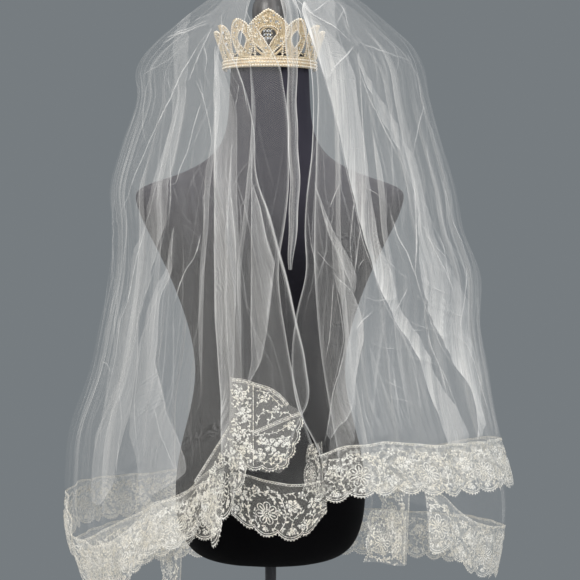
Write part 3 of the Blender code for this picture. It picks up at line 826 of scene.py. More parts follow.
def fine_pleats(seed, count, low, high):
    """Seeded soft pleats: hem angle, half width in degrees, height, where each begins and ends, and drift."""
    draw = random.Random(seed)
    pleats = []
    for k in range(count):
        middle = low + (high - low) * (k + draw.uniform(0.1, 0.9)) / count
        begins = draw.choice((1.0, 1.0, 0.9, 0.78, 0.66))
        ends = draw.choice((0.0, 0.0, 0.2, 0.34, 0.48))
        pleats.append((middle, draw.uniform(0.7, 1.9), draw.uniform(0.0015, 0.0042), begins, ends,
                       draw.uniform(-4.0, 4.0)))
    return pleats


def pleat_relief(pleats, hem_angle, height, share):
    relief = 0 * hem_angle
    for middle, half, tall, begins, ends, drift in pleats:
        alive = (1 - ramp(height, begins - 0.10, begins)) * ramp(height, ends, ends + 0.10)
        if begins >= 1.0:
            alive = ramp(height, ends, ends + 0.10)
        off = wrapped(hem_angle - middle - drift * (share - 0.5)) / half
        relief += tall * alive * bell(off) * (1 + 0.5 * np.tanh(1.6 * off))
    return relief * (0.25 + 0.75 * ramp(share, 0.02, 0.25))


def table_pleats(tier, side, tables, shares):
    """Both edges of each tabled pleat on each row, as shares of the way to the free edge, and its layers."""
    found = []
    for layers, places in tables.values():
        known = np.array(sorted((height * MM, near * MM, far * MM) for height, near, far in places))
        edges, heights = [], []
        for column in (1, 2):
            low, high = np.zeros(len(shares)), np.ones(len(shares))
            for _ in range(18):
                at = (low + high) / 2
                height = tier.top + (tier.header(tier.hem_angle(side, at)) - tier.top) * shares
                near_by = (height - 0.006, height, height + 0.006)
                wanted = sum(np.interp(near, known[:, 0], known[:, column]) for near in near_by) / 3
                short = at < tier.share_at(side, wanted, height)
                low, high = np.where(short, at, low), np.where(short, high, at)
            edges.append(np.clip((low + high) / 2, 0.02, 0.985))
            heights.append(height)
        height = (heights[0] + heights[1]) / 2
        beyond = np.maximum(np.maximum(height - known[-1, 0], known[0, 0] - height), 0)
        first, last = np.minimum(*edges), np.maximum(*edges)
        middle, half = (first + last) / 2, (last - first) / 2
        half = half * (1 - ramp(beyond, 0, 0.016)) - 0.1 * np.minimum(beyond, 0.05)
        added = layers[1] + (layers[0] - layers[1]) * ramp(height, 0.40, 0.80)
        found.append((middle - half, middle + half, added))
    return found


def loose_pleats(seed, count, shares, wide):
    """Seeded pleats that run down a stretch, as shares of its width on each row."""
    draw = random.Random(seed)
    found = []
    for k in range(count):
        middle = (k + draw.uniform(0.3, 0.7)) / count
        lean = draw.uniform(-0.03, 0.03)
        begins, ends = draw.uniform(0.02, 0.30), draw.uniform(0.75, 1.3)
        open_share = ramp(shares, begins, begins + 0.15) - ramp(shares, ends - 0.2, ends)
        half = wide * draw.uniform(0.5, 1.0) * open_share
        at = middle + lean * (shares - 0.5)
        found.append((at - half + 0.0008, at + half - 0.0008, draw.uniform(0.5, 3.0)))
    return found


def turn_weights(number):
    """How sharp a pleat's far and near turns are: one is creased and the other is soft."""
    return (0.30, 1.0) if number % 3 == 2 else (1.0, 0.30)


def folded_rows(pleats, row_count, columns):
    """Each row's stations: shares of the width, how far they stack out, nearness to a turn, added layers."""
    pleats = sorted(pleats, key=lambda pleat: float(pleat[1].mean()))
    stops = [np.zeros(row_count)]
    for near, far, _ in pleats:
        stops += [far, near]
    stops.append(np.ones(row_count))
    lengths = [float(np.abs(b - a).mean()) for a, b in zip(stops, stops[1:])]
    spare = columns - LEG_COLUMNS * len(lengths)
    counts = [LEG_COLUMNS + int(spare * length / sum(lengths)) for length in lengths]
    share, stack, turn, dense = [], [], [], []
    base = np.zeros(row_count)
    settle = np.ones(row_count)
    for leg, (start, end) in enumerate(zip(stops, stops[1:])):
        forward = leg % 2 == 0
        t = np.linspace(0, 1, counts[leg] + 1)[None, (0 if leg == 0 else 1):]
        eased = t - 0.10 * np.sin(2 * math.pi * t)
        at = start[:, None] + (end - start)[:, None] * eased
        if forward:
            held = base[:, None] * (1 - ramp(at, settle[:, None], settle[:, None] + SETTLING))
            near_turn = 0 * at
            if leg:
                weight = turn_weights(leg // 2 - 1)[1] * opened[:, None]
                near_turn += bell(np.abs(at - start[:, None]) / TURN_REACH) * weight
            if leg < len(stops) - 2:
                opening = np.clip((stops[leg + 1] - stops[leg + 2]) / FULL_OPENING, 0, 1)
                weight = turn_weights(leg // 2)[0] * opening[:, None]
                near_turn += bell(np.abs(end[:, None] - at) / TURN_REACH) * weight
            last = held[:, -1]
        else:
            opened = np.clip((start - end) / FULL_OPENING, 0, 1)
            held = last[:, None] + LAYER_RISE * opened[:, None] * ramp(t, 0, 1)
            first, second = turn_weights(leg // 2)
            near_turn = first * bell(np.abs(at - start[:, None]) / TURN_REACH)
            near_turn = (near_turn + second * bell(np.abs(end[:, None] - at) / TURN_REACH)) * opened[:, None]
            base, settle = held[:, -1], start
        share.append(at)
        stack.append(held)
        turn.append(near_turn)
        if forward:
            dense.append(0 * at)
        else:
            number = leg // 2
            beat = 1 + 0.25 * np.sin(number + np.linspace(0, 9 + number % 4, row_count))
            beat = beat * opened * pleats[number][2]
            dense.append(beat[:, None] * (0.22 + 1.60 * (t if number % 3 == 2 else 1 - t) ** 1.8))
    return np.hstack(share), np.hstack(stack), np.hstack(turn), np.hstack(dense)


def arc(points, axis):
    """How far each point lies along a line of points."""
    steps = np.linalg.norm(np.diff(points, axis=axis), axis=2)
    start = np.zeros_like(np.take(steps, [0], axis=axis))
    return np.concatenate([start, np.cumsum(steps, axis=axis)], axis=axis)


def make_tulle(tier, side, rows, columns, pleats, creases, fine, seeded, look):
    """One stretch of a tier from the comb to its lace seam, as a folded sheet."""
    name = f"tulle_{tier.name}_{SIDE_NAMES[side]}"
    t = np.linspace(0, 1, rows + 1)
    shares = 0.25 * t * t + 0.75 * t
    share, stack, turn, dense = folded_rows(pleats(shares), rows + 1, columns)
    hem_angle = tier.hem_angle(side, share)
    down = shares[:, None] + 0 * share
    height = tier.top + (tier.header(hem_angle) - tier.top) * down
    smooth = tier.surface(side, hem_angle, height)
    if tier is UPPER and side == -1:
        stack = stack * (1 - 0.92 * (1 - ramp(height, 0.46, 0.50)) * ramp(smooth[..., 0], -0.062, -0.050))
    relief = pleat_relief(fine, hem_angle, height, down)
    ridge = crease_relief(creases, smooth[..., 0], height)
    seams = ramp(down, 0.0, 0.03) * (1 - ramp(down, 0.985, 1.0))
    outwards = (stack + relief + ridge) * seams
    points = tier.surface(side, hem_angle, height, outwards)
    if side == 0:
        points[:, (0, -1), 1] += SEAM_STEP
    along = arc(points, 1)
    flat = on_section(hem_angle, height, 0, tier.lower)
    gathered = np.gradient(along, axis=1) / np.maximum(np.abs(np.gradient(arc(flat, 1), axis=1)), 1e-5)
    # Gathered cloth hides more of what is behind: on steep sides of folds, near the comb and at every turn
    steep = np.clip(gathered, 1, 3.5) - 1
    full = along[-1, -1]
    crown = np.clip(0.24 * full / np.maximum(along[:, -1:], 0.02) - 0.42, 0, 4)
    beat = 0.75 + 0.35 * np.sin(31 * height + 9 * share) * np.sin(13 * height + 2.0)
    thin = 0.50 if side == -1 else 0.70
    if side:
        steep = steep * (0.35 + 0.65 * (1 - ramp(np.abs(hem_angle), 48, 74)))
    extra = thin * (0.9 * steep + 0.9 * crown) + 3.4 * turn * beat + dense
    extra = extra * (0.6 if tier.lower else 1.0)
    if side == 1 and not tier.lower:
        extra = extra + 1.1 * (1 - ramp(height, 0.42, 0.62)) * ramp(hem_angle, 12, 26)
    if side:
        extra = extra + 7.0 * bell((1 - share) * full / 0.0016)
    haze = 1 - (1 - look.tulle_cover) ** extra
    # One flat layer shows less where it hangs away from the light, at the sides and back
    if side == -1:
        body = 0.42 + 0.58 * ramp(hem_angle, -78, -34)
    elif side == 1:
        body = 0.54 + 0.46 * (1 - ramp(hem_angle, 30, 64))
    else:
        body = 0.48 + 0 * haze
    if tier.lower:
        body = body * (0.8 + 0.4 * bell(wrapped(hem_angle) / 35))
    fallen = arc(points, 0)
    maps = {
        "net": np.stack([along, fallen], axis=-1),
        "strand": np.stack([share * full, fallen], axis=-1),
    }
    mesh = sheet_mesh(name, points, {"haze": haze, "body": body}, maps)
    mesh.materials.append(tulle_material(look))
    piece = fit(object_of(name, mesh), f"{tier.name}_tier_{SIDE_NAMES[side]}")
    pinched = make_creases(name, tier, side, points, creases, seeded, look)
    return piece


def surface_area(points):
    first = np.cross(points[1:, :-1] - points[:-1, :-1], points[:-1, 1:] - points[:-1, :-1])
    second = np.cross(points[1:, :-1] - points[1:, 1:], points[:-1, 1:] - points[1:, 1:])
    return 0.5 * (np.linalg.norm(first, axis=2).sum() + np.linalg.norm(second, axis=2).sum())


def tulle_material(look):
    made = bpy.data.materials.get("soft_tulle")
    if made:
        return made
    colour = tuple(look.tulle_colour)
    shader = Shader("soft_tulle", colour, 0.62, specular=0.25, sheen=0.35, sheen_roughness=0.45)
    net = shader.math("MULTIPLY", shader.net(shader.uv("net"), look.tulle_cell, NET_LEVEL), TULLE_THREAD)
    strand = shader.uv("strand")
    streaks = shader.noise(shader.scaled(strand, 1.0, 0.030), 380.0, 4.0, 0.6)
    broad = shader.noise(shader.scaled(strand, 1.0, 0.060, 1.0, 0.05), 110.0, 3.0, 0.6)
    wisps = shader.noise(shader.scaled(strand, 1.0, 0.30), 26.0, 3.0, 0.55)
    narrow_haze = shader.between(streaks, 0.54, 0.78, 0.0, 0.055)
    thick = shader.math("ADD", narrow_haze, shader.between(broad, 0.52, 0.80, 0.0, 0.045))
    thick = shader.math("MULTIPLY_ADD", thick, shader.between(wisps, 0.38, 0.66, 0.25, 1.3), 0.0)
    uneven = shader.between(streaks, 0.30, 0.70, 0.62, 1.38)
    folded = shader.math("MULTIPLY", uneven, shader.between(broad, 0.3, 0.7, 0.72, 1.28))
    body = shader.attribute("body")
    net = shader.math("MULTIPLY", net, body)
    thick = shader.math("MULTIPLY", thick, body)
    filled = shader.math("MULTIPLY", shader.attribute("haze"), folded)
    return shader.netted(net, shader.math("MINIMUM", shader.math("ADD", filled, thick), 1.0))


def crease_material(look):
    made = bpy.data.materials.get("creased_tulle")
    if made:
        return made
    colour = tuple(look.tulle_colour)
    shader = Shader("creased_tulle", colour, 0.60, specular=0.25, sheen=0.35, sheen_roughness=0.45)
    broken = shader.noise(shader.place(), 170.0, 3.0, 0.6)
    haze = shader.math("MULTIPLY", shader.attribute("haze"), shader.between(broken, 0.3, 0.7, 0.72, 1.18))
    shader.to("Alpha", shader.math("MINIMUM", haze, 1.0))
    return shader.material


# ---------------------------------------------------------------- stage


def area_light(name, place, energy, size, colour):
    """A square light, aimed at the middle of the stage."""
    light = bpy.data.lights.new(name, "AREA")
    light.energy = energy
    light.size = size
    light.color = colour
    obj = object_of(name, light)
    obj.location = place
    obj.rotation_euler = (Vector(STAGE_MIDDLE) - Vector(place)).to_track_quat("-Z", "Y").to_euler()


def make_stage(stage):
    """The camera, a round floor, four lights and the plain room behind."""
    camera = bpy.data.cameras.new("camera")
    camera.lens = CAMERA_LENS
    camera.sensor_width = CAMERA_SENSOR
    camera.clip_end = 20.0
    eye = object_of("camera", camera)
    eye.location = CAMERA_PLACE
    eye.rotation_euler = (math.radians(90 - CAMERA_DIP), 0, 0)
    scene = bpy.context.scene
    scene.camera = eye
    sides = 96
    turns = [2 * math.pi * k / sides for k in range(sides)]
    mesh = bpy.data.meshes.new("floor")
    rim = [(stage.floor_radius * math.cos(t), stage.floor_radius * math.sin(t), 0.0) for t in turns]
    mesh.from_pydata(rim, [], [tuple(range(sides))])
    shader = Shader("floor", tuple(stage.floor_colour), 0.75)
    cloudy = shader.noise(shader.place(), 3.0, 4.0, 0.6)
    dark = tuple(0.94 * c for c in stage.floor_colour)
    shader.to("Base Color", shader.mix(shader.between(cloudy, 0.3, 0.7), dark, tuple(stage.floor_colour)))
    mesh.materials.append(shader.material)
    object_of("floor", mesh)
    for name, place, share, size, colour in LIGHTS:
        area_light(name, place, stage.key_power * share, size, colour)
    world = bpy.data.worlds.new("plain_room")
    world.use_nodes = True
    background = world.node_tree.nodes["Background"]
    background.inputs["Color"].default_value = (*stage.room_colour, 1.0)
    background.inputs["Strength"].default_value = 1.0
    scene.world = world
    scene.view_settings.view_transform = "Standard"
    scene.cycles.transparent_max_bounces = 40


# ---------------------------------------------------------------- lace


class Ornament:
    """Raised stitching drawn on a flat band, with places as along it and down from its header."""

    def __init__(self):
        self.points = []
        self.rise = []
        self.faces = []

    def ribbon(self, line, width, rise=0.0005, closed=False):
        """A raised cord along a line of points, with a ridge down its middle."""
        line = np.array(line, float)
        ahead = np.roll(line, -1, axis=0) - np.roll(line, 1, axis=0)
        if not closed:
            ahead[0], ahead[-1] = line[1] - line[0], line[-1] - line[-2]
        length = np.maximum(np.linalg.norm(ahead, axis=1, keepdims=True), 1e-9)
        side = np.stack([-ahead[:, 1], ahead[:, 0]], axis=1) / length * width / 2
        first = len(self.points)
        for middle, away in zip(line, side):
            self.points += [middle - away, middle, middle + away]
            self.rise += [0.0, rise, 0.0]
        count = len(line)
        for k in range(count if closed else count - 1):
            a, b = first + 3 * k, first + 3 * ((k + 1) % count)
            self.faces += [(a, b, b + 1, a + 1), (a + 1, b + 1, b + 2, a + 2)]

    def petal(self, middle, length, width, turn, rise=0.0006, sides=8, blunt=0.0):
        """A raised oval, wider at its outer end when it is blunt. turn is in degrees."""
        t = np.linspace(0, 2 * math.pi, sides, endpoint=False)
        x, y = np.cos(t) * length / 2, np.sin(t) * width / 2 * (1 + blunt * np.cos(t))
        c, s = math.cos(math.radians(turn)), math.sin(math.radians(turn))
        first = len(self.points)
        self.points.append(np.array(middle, float))
        self.rise.append(rise)
        for px, py in zip(x, y):
            self.points.append(np.array((middle[0] + c * px - s * py, middle[1] + s * px + c * py)))
            self.rise.append(0.0)
        for k in range(sides):
            self.faces.append((first, first + 1 + k, first + 1 + (k + 1) % sides))

    def ring(self, middle, radius, width, sides=8):
        t = np.linspace(0, 2 * math.pi, sides, endpoint=False)
        line = np.stack([middle[0] + radius * np.cos(t), middle[1] + radius * np.sin(t)], axis=1)
        self.ribbon(line, width, closed=True)

    def flower(self, middle, radius, petals, turn=0.0):
        """Filled petals round a ring."""
        for k in range(petals):
            angle = turn + 360 * k / petals
            away = unit(math.radians(angle))
            root = np.array(middle) + away * radius * 0.64
            self.petal(root, radius * 0.74, radius * 0.66, angle, blunt=0.25)
        self.ring(middle, radius * 0.20, radius * 0.13, 6)

    def open_flower(self, middle, radius, petals, turn=0.0):
        """Petals with a corded outline and a raised vein, round a ring."""
        t = np.linspace(0, 2 * math.pi, 12, endpoint=False)
        for k in range(petals):
            angle = math.radians(turn + 360 * k / petals)
            away = unit(angle)
            beside = np.array((-away[1], away[0]))
            reach = radius * (0.63 + 0.35 * np.cos(t))
            wide = radius * 0.27 * np.sin(t) * (1 + 0.22 * np.cos(t))
            line = np.array(middle) + reach[:, None] * away + wide[:, None] * beside
            self.ribbon(line, radius * 0.085, closed=True)
            vein = [np.array(middle) + away * radius * s for s in (0.34, 0.58, 0.80)]
            self.ribbon(vein, radius * 0.12, 0.0003)
        self.ring(middle, radius * 0.19, radius * 0.08, 8)
        self.petal(middle, radius * 0.16, radius * 0.16, 0, sides=6)

    def vine(self, places, width, leaf, every, seed):
        """A curved stem through a few places, with small leaves on both sides."""
        line = smooth_line(places, 0.0016)
        self.ribbon(line, width)
        draw = random.Random(seed)
        reached = reached_along(line)
        at = every * 0.6
        hand = 1
        while at < reached[-1]:
            k = min(int(np.searchsorted(reached, at)), len(line) - 1)
            ahead = line[k] - line[k - 1]
            heading = math.degrees(math.atan2(ahead[1], ahead[0])) + hand * draw.uniform(38, 62)
            size = leaf * draw.uniform(0.8, 1.2)
            away = unit(math.radians(heading))
            self.petal(line[k] + away * size * 0.55, size, size * 0.5, heading)
            hand = -hand
            at += every * draw.uniform(0.8, 1.2)


def smooth_line(places, step):
    """A smooth curve through a few places."""
    places = np.array(places, float)
    reached = reached_along(places)
    count = max(3, int(reached[-1] / step) + 1)
    at = np.linspace(0, reached[-1], count)
    return np.stack([smooth_value(list(zip(reached, places[:, k])), 1, at) for k in (0, 1)], axis=1)


def lobe(share):
    """Rounded scallops: 0 at a notch and 1 at the middle of a lobe."""
    return np.abs(np.sin(math.pi * share)) ** 0.7


# The open flower of a repeat: its place by shares of the length and depth, and the round kept clear for it
ROSE_PLACE = (0.5, 0.66)
ROSE_CLEAR = 0.0155
LOOSE_LEAVES = 44
PICOTS = 8
REPEAT_STEMS = (
    # width of the stem, length of its leaves, space between them, then places by shares of length and depth
    (0.0013, 0.0050, 0.0046, (
        (0.30, 0.98), (0.235, 0.72), (0.28, 0.42), (0.42, 0.27), (0.56, 0.30), (0.63, 0.42),
    )),
    (0.0013, 0.0050, 0.0046, (
        (0.70, 0.96), (0.765, 0.74), (0.74, 0.46), (0.66, 0.27), (0.55, 0.19), (0.47, 0.24),
    )),
)
REPEAT_SPRIGS = (
    (0.0009, 0.0040, 0.0046, ((0.03, 0.30), (0.08, 0.20), (0.16, 0.20), (0.22, 0.30))),
    (0.0009, 0.0042, 0.0046, ((0.10, 0.98), (0.145, 0.84), (0.11, 0.70), (0.05, 0.62))),
    (0.0009, 0.0042, 0.0046, ((0.90, 0.97), (0.855, 0.84), (0.885, 0.68), (0.95, 0.58), (0.99, 0.46))),
    (0.0009, 0.0038, 0.0044, ((0.77, 0.22), (0.83, 0.18), (0.90, 0.24))),
    (0.0008, 0.0034, 0.0040, ((0.41, 0.97), (0.36, 0.88), (0.34, 0.74))),
    (0.0008, 0.0034, 0.0040, ((0.59, 0.98), (0.635, 0.88), (0.66, 0.76))),
)
REPEAT_FLOWERS = (
    # place by shares of the length and depth, radius, petals, turn
    ((0.155, 0.47), 0.0088, 5, 20),
    ((0.86, 0.44), 0.0092, 6, 0),
    ((0.04, 0.84), 0.0070, 5, 50),
    ((0.985, 0.22), 0.0052, 5, 10),
    ((0.345, 0.235), 0.0050, 5, 30),
    ((0.665, 0.60), 0.0050, 5, 0),
)


def draw_repeat(width, seed):
    """Three scallops' length of floral edging, in metres."""
    made = Ornament()
    period = SCALLOP_PERIOD
    full = REPEAT
    low = width - SCALLOP_DEPTH

    def at(along, down):
        """A place by its share of the repeat and its share of the depth from the header to the notches."""
        return (along * full, down * low)

    made.open_flower(at(*ROSE_PLACE), 0.0150, 7, 12)
    for number, (stem, leaf, every, places) in enumerate(REPEAT_STEMS):
        made.vine([at(*place) for place in places], stem, leaf, every, seed + number)
    for place, radius, petals, turn in REPEAT_FLOWERS:
        made.flower(at(*place), radius, petals, turn)
    for number, (stem, leaf, every, places) in enumerate(REPEAT_SPRIGS, len(REPEAT_STEMS)):
        made.vine([at(*place) for place in places], stem, leaf, every, seed + number)
    draw = random.Random(seed + len(REPEAT_STEMS) + len(REPEAT_SPRIGS))
    for k in range(LOOSE_LEAVES):
        spot = np.array(at((k + draw.uniform(0, 1)) / LOOSE_LEAVES, draw.uniform(0.18, 0.97)))
        if math.hypot(*(spot - at(*ROSE_PLACE))) > ROSE_CLEAR:
            size = draw.choice((0.0018, 0.0042, 0.0052, 0.0062))
            made.petal(spot, size, max(0.0013, 0.40 * size), draw.uniform(0, 180), sides=6)
            bend = np.linspace(-1, 1, 7)
            turn, reach = draw.uniform(0, math.pi), draw.uniform(0.0022, 0.0044)
            ahead = unit(turn)
            beside = np.array((-ahead[1], ahead[0]))
            curl = spot + reach * (bend[:, None] * ahead + 0.6 * (bend[:, None] ** 2 - 0.5) * beside)
            curl[:, 1] = np.clip(curl[:, 1], 0.006, width - 0.012)
            made.ribbon(curl, 0.0008)
    for k in range(SCALLOPS):
        middle = (k + 0.5) * period
        for lean in (-38, 0, 38):
            turn = 90 + lean
            away = unit(math.radians(turn))
            made.petal(np.array((middle, width - 0.0125)) + away * 0.0035, 0.0062, 0.0034, turn)
        for beside in (-0.0095, 0.0095):
            made.petal((middle + beside, width - 0.0105), 0.0048, 0.0028, 90 - 900 * beside * 3)
        for inside, cord in ((0.0010, 0.0013), (0.0038, 0.0009)):
            t = np.linspace(0, 1, 25)
            edge = np.stack([(k + t) * period, width - SCALLOP_DEPTH * (1 - lobe(t)) - inside], axis=1)
            made.ribbon(edge, cord)
        for picot in range(PICOTS):
            t = (picot + 0.5) / PICOTS
            place = ((k + t) * period, width - SCALLOP_DEPTH * (1 - lobe(t)) + 0.0005)
            made.petal(place, 0.0021, 0.0017, 90, sides=5)
    t = np.arange(0, full + 1e-9, 0.00085)
    for phase in (0, math.pi):
        twist = np.stack([t, 0.0020 + 0.0013 * np.cos(2 * math.pi * t / 0.0068 + phase)], axis=1)
        made.ribbon(twist, 0.0007)
    made.ribbon(np.stack([t[::3], 0.0004 + 0 * t[::3]], axis=1), 0.0006)
    return made


# The lower right edging is cut back at this share of its stretch, by a place across and a height
LOWER_RIGHT_CUT = float(LOWER.share_at(1, np.array(0.206), np.array(0.285)))
# Each tier's stretches of edging: the side, the shares where it starts and ends, how much deeper than the
# edging it hangs at both, and how far its end rises. The lower left one is taken up in a fold and starts
# again in front.
LACE_STRETCHES = {
    "upper": (
        (-1, 0.0, 0.885, 1.0, 1.36, 0.012),
        (0, 0.0, 1.0, 1.0, 1.0, 0.0),
        (1, 0.0, 1.0, 1.0, 0.94, 0.004),
    ),
    "lower": (
        (-1, 0.0, 0.795, 1.0, 1.1, 0.0),
        (-1, 0.826, 1.0, 0.80, 0.62, 0.0),
        (0, 0.0, 1.0, 1.0, 1.0, 0.0),
        (1, 0.0, LOWER_RIGHT_CUT, 1.0, 1.30, 0.030),
    ),
}


class Band:
    """A stretch of lace edging: where a place on its flat pattern lies on the veil."""

    def __init__(self, tier, side, first, last, start_depth, end_depth, end_rise):
        self.tier, self.side = tier, side
        self.start_depth, self.end_depth, self.end_rise = start_depth, end_depth, end_rise
        ends = np.linspace(first, last, 600)
        self.angles = tier.hem_angle(side, ends)
        line = tier.surface(side, self.angles, tier.header(self.angles) - 0.6 * tier.lace)
        self.reached = reached_along(line)
        self.length = float(self.reached[-1])
        self.count = max(1, round(self.length / SCALLOP_PERIOD))
        self.stretch = self.length / (self.count * SCALLOP_PERIOD)

    def place(self, along, down, rise):
        angle = np.interp(along, self.reached, self.angles)
        near_start = 1 - ramp(along, 0.0, END_REACH)
        near_end = 1 - ramp(self.length - along, 0.0, END_REACH)
        down = down * (1 + (self.start_depth - 1) * near_start + (self.end_depth - 1) * near_end)
        down = down - self.end_rise * (1 - ramp(self.length - along, 0.0, 2.4 * END_REACH))
        points = self.tier.surface(self.side, angle, self.tier.header(angle) - down, rise)
        if self.side == 0:
            ends = bell(along / 0.004) + bell((self.length - along) / 0.004)
            points[..., 1] += SEAM_STEP * np.minimum(ends, 1)
        return points


def flat_mesh(name, points, faces, material):
    mesh = bpy.data.meshes.new(name)
    mesh.from_pydata(points.tolist(), [], [tuple(face) for face in faces])
    mesh.materials.append(material)
    mesh.shade_smooth()
    return mesh


def spread(ornament, count, pitch, stretch, reach, place, lift):
    """The repeat laid along a band as often as it needs, without what passes the band's end."""
    flat = np.array(ornament.points)
    rise = np.array(ornament.rise)
    whole, used = [], []
    first = 0
    for k in range(count):
        along = (flat[:, 0] + k * pitch) * stretch
        faces = [face for face in ornament.faces if all(0 <= along[i] <= reach for i in face)]
        kept = np.zeros(len(flat), bool)
        kept[[i for face in faces for i in face]] = True
        number = np.cumsum(kept) - 1 + first
        whole.append(place(along[kept], flat[kept, 1], lift + rise[kept]))
        used += [tuple(int(number[i]) for i in face) for face in faces]
        first += int(kept.sum())
    return np.concatenate(whole), used


# Where the edging doubles back and hangs edge on, by tier and side: the top and foot of its header, then of
# its scallops, each as x, y and z.
HANGING_LACE = {
    ("lower", 1): (
        ((0.184, -0.152, 0.318), (0.180, -0.150, 0.206), (0.140, -0.120, 0.312), (0.166, -0.118, 0.204)),
        ((0.181, -0.138, 0.276), (0.180, -0.136, 0.200), (0.133, -0.112, 0.270), (0.127, -0.116, 0.197)),
    ),
    ("upper", -1): (
        ((-0.049, -0.184, 0.400), (-0.095, -0.170, 0.324), (-0.024, -0.190, 0.344), (-0.070, -0.181, 0.236)),
    ),
    ("upper", 1): (
        ((0.069, -0.160, 0.374), (0.0715, -0.160, 0.300), (0.050, -0.149, 0.366), (0.044, -0.147, 0.306)),
    ),
    ("lower", -1): (
        ((-0.112, -0.150, 0.250), (-0.116, -0.146, 0.172), (-0.150, -0.122, 0.246), (-0.141, -0.124, 0.168)),
    ),
}


def make_hanging(tier, side, number, corners, look):
    """One doubled-back length of edging: four corners, with a soft twist between them."""
    name = f"lace_{tier.name}_{SIDE_NAMES[side]}_hanging_{number}"
    top, foot, outer_top, outer_foot = (np.array(corner) for corner in corners)
    tall = float(np.linalg.norm(top - foot))

    def place(along, down, rise):
        s, t = along[..., None] / tall, down[..., None] / tier.lace
        header = top + (foot - top) * s
        rim = outer_top + (outer_foot - outer_top) * s
        points = header + (rim - header) * t
        twist = 0.004 * np.sin(9 * s[..., 0] + 2 * number) * t[..., 0]
        points[..., 1] -= rise + twist + 0.003 * np.sin(7 * t[..., 0])
        return points

    along = np.linspace(0, tall, int(tall / 0.0024) + 1)
    times = math.ceil(tall / REPEAT)
    return [piece.name for piece in sewn(name, tier, along, 1.0, times, 5 + number, place, None, look)]


def sewn(name, tier, along, stretch, times, seed, place, thickness, look):
    """A length of edging: its net ground and the stitching raised on it."""
    hem = tier.lace - SCALLOP_DEPTH * (1 - lobe(along / stretch / SCALLOP_PERIOD))
    depth = np.linspace(LACE_SEAM, 1, LACE_ROWS)[:, None] * hem[None, :]
    reach = along[None, :] + 0 * depth
    points = place(reach, depth, 0.0)
    layers = {"thick": thickness(points, reach)} if thickness else {}
    mesh = sheet_mesh(name, points, layers, {"net": np.stack([reach, depth], axis=-1)})
    mesh.materials.append(lace_ground(look))
    ground = object_of(name, mesh)
    repeat = draw_repeat(tier.lace, seed)
    raised, faces = spread(repeat, times, REPEAT, stretch, along[-1] + 1e-6, place, STITCH_LIFT)
    motifs = object_of(f"{name}_stitching", flat_mesh(f"{name}_stitching", raised, faces, lace_thread(look)))
    return fit(ground), fit(motifs)


def edging(tier, side, name, band, look):
    """A stretch of edging, whose net is thicker towards the sides and at its ends."""

    def thickness(points, reach):
        thick = ramp(np.abs(points[..., 0] + 0.012), 0.075, 0.115) * (0.6 if tier is LOWER else 1.0)
        ends = (1 - ramp(reach, 0.0, 0.020)) + (1 - ramp(band.length - reach, 0.0, 0.026))
        return np.maximum(thick, np.minimum(ends, 1) * (1 if side else 0))

    along = np.linspace(0, band.length, int(band.length / 0.0022) + 1)
    times = math.ceil(band.count / SCALLOPS)
    return sewn(name, tier, along, band.stretch, times, 5, band.place, thickness, look)


def make_lace(tier, side, look):
    """All the edging of one side of a tier, with the lengths that are doubled back."""
    name = f"lace_{tier.name}_{SIDE_NAMES[side]}"
    bands = [Band(tier, *row) for row in LACE_STRETCHES[tier.name] if row[0] == side]
    ground, motifs = edging(tier, side, name, bands[0], look)
    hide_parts(f"{tier.name}_lace_{SIDE_NAMES[side]}")
    others = [motifs.name]
    for band in bands[1:]:
        front, raised = edging(tier, side, f"{name}_front", band, look)
    for number, corners in enumerate(HANGING_LACE.get((tier.name, side), ())):
        others += make_hanging(tier, side, number, corners, look)


def lace_ground(look):
    made = bpy.data.materials.get("lace_ground")
    if made:
        return made
    shader = Shader("lace_ground", tuple(look.lace_colour), 0.7, specular=0.2)
    net = shader.math("MULTIPLY", shader.net(shader.uv("net"), look.lace_cell, NET_LEVEL), LACE_THREAD)
    cloudy = shader.noise(shader.uv("net"), 160.0, 3.0, 0.6)
    clots = shader.between(cloudy, 0.42, 0.66, 0.04, 0.46)
    clotted = shader.math("MULTIPLY", clots, shader.attribute("thick"))
    return shader.netted(net, shader.math("ADD", shader.between(cloudy, 0.50, 0.80, 0.0, 0.05), clotted))


def lace_thread(look):
    made = bpy.data.materials.get("lace_thread")
    if made:
        return made
    pale = tuple(look.lace_colour)
    shader = Shader("lace_thread", pale, 0.6, specular=0.3, sheen=0.25, sheen_roughness=0.4)
    fine = shader.noise(shader.place(), 900.0, 2.0, 0.6)
    wide = shader.noise(shader.place(), 60.0, 3.0, 0.5)
    warm = tuple(c * k for c, k in zip(pale, (0.93, 0.90, 0.84)))
    shader.to("Base Color", shader.mix(shader.between(wide, 0.35, 0.7), pale, warm))
    shader.bump(fine, 0.5, 0.0004)
    gaps = shader.noise(shader.place(), 420.0, 2.0, 0.7)
    shader.to("Alpha", shader.between(gaps, 0.36, 0.56, 0.30, 1.0))
    return shader.material


# ---------------------------------------------------------------- flap and strip


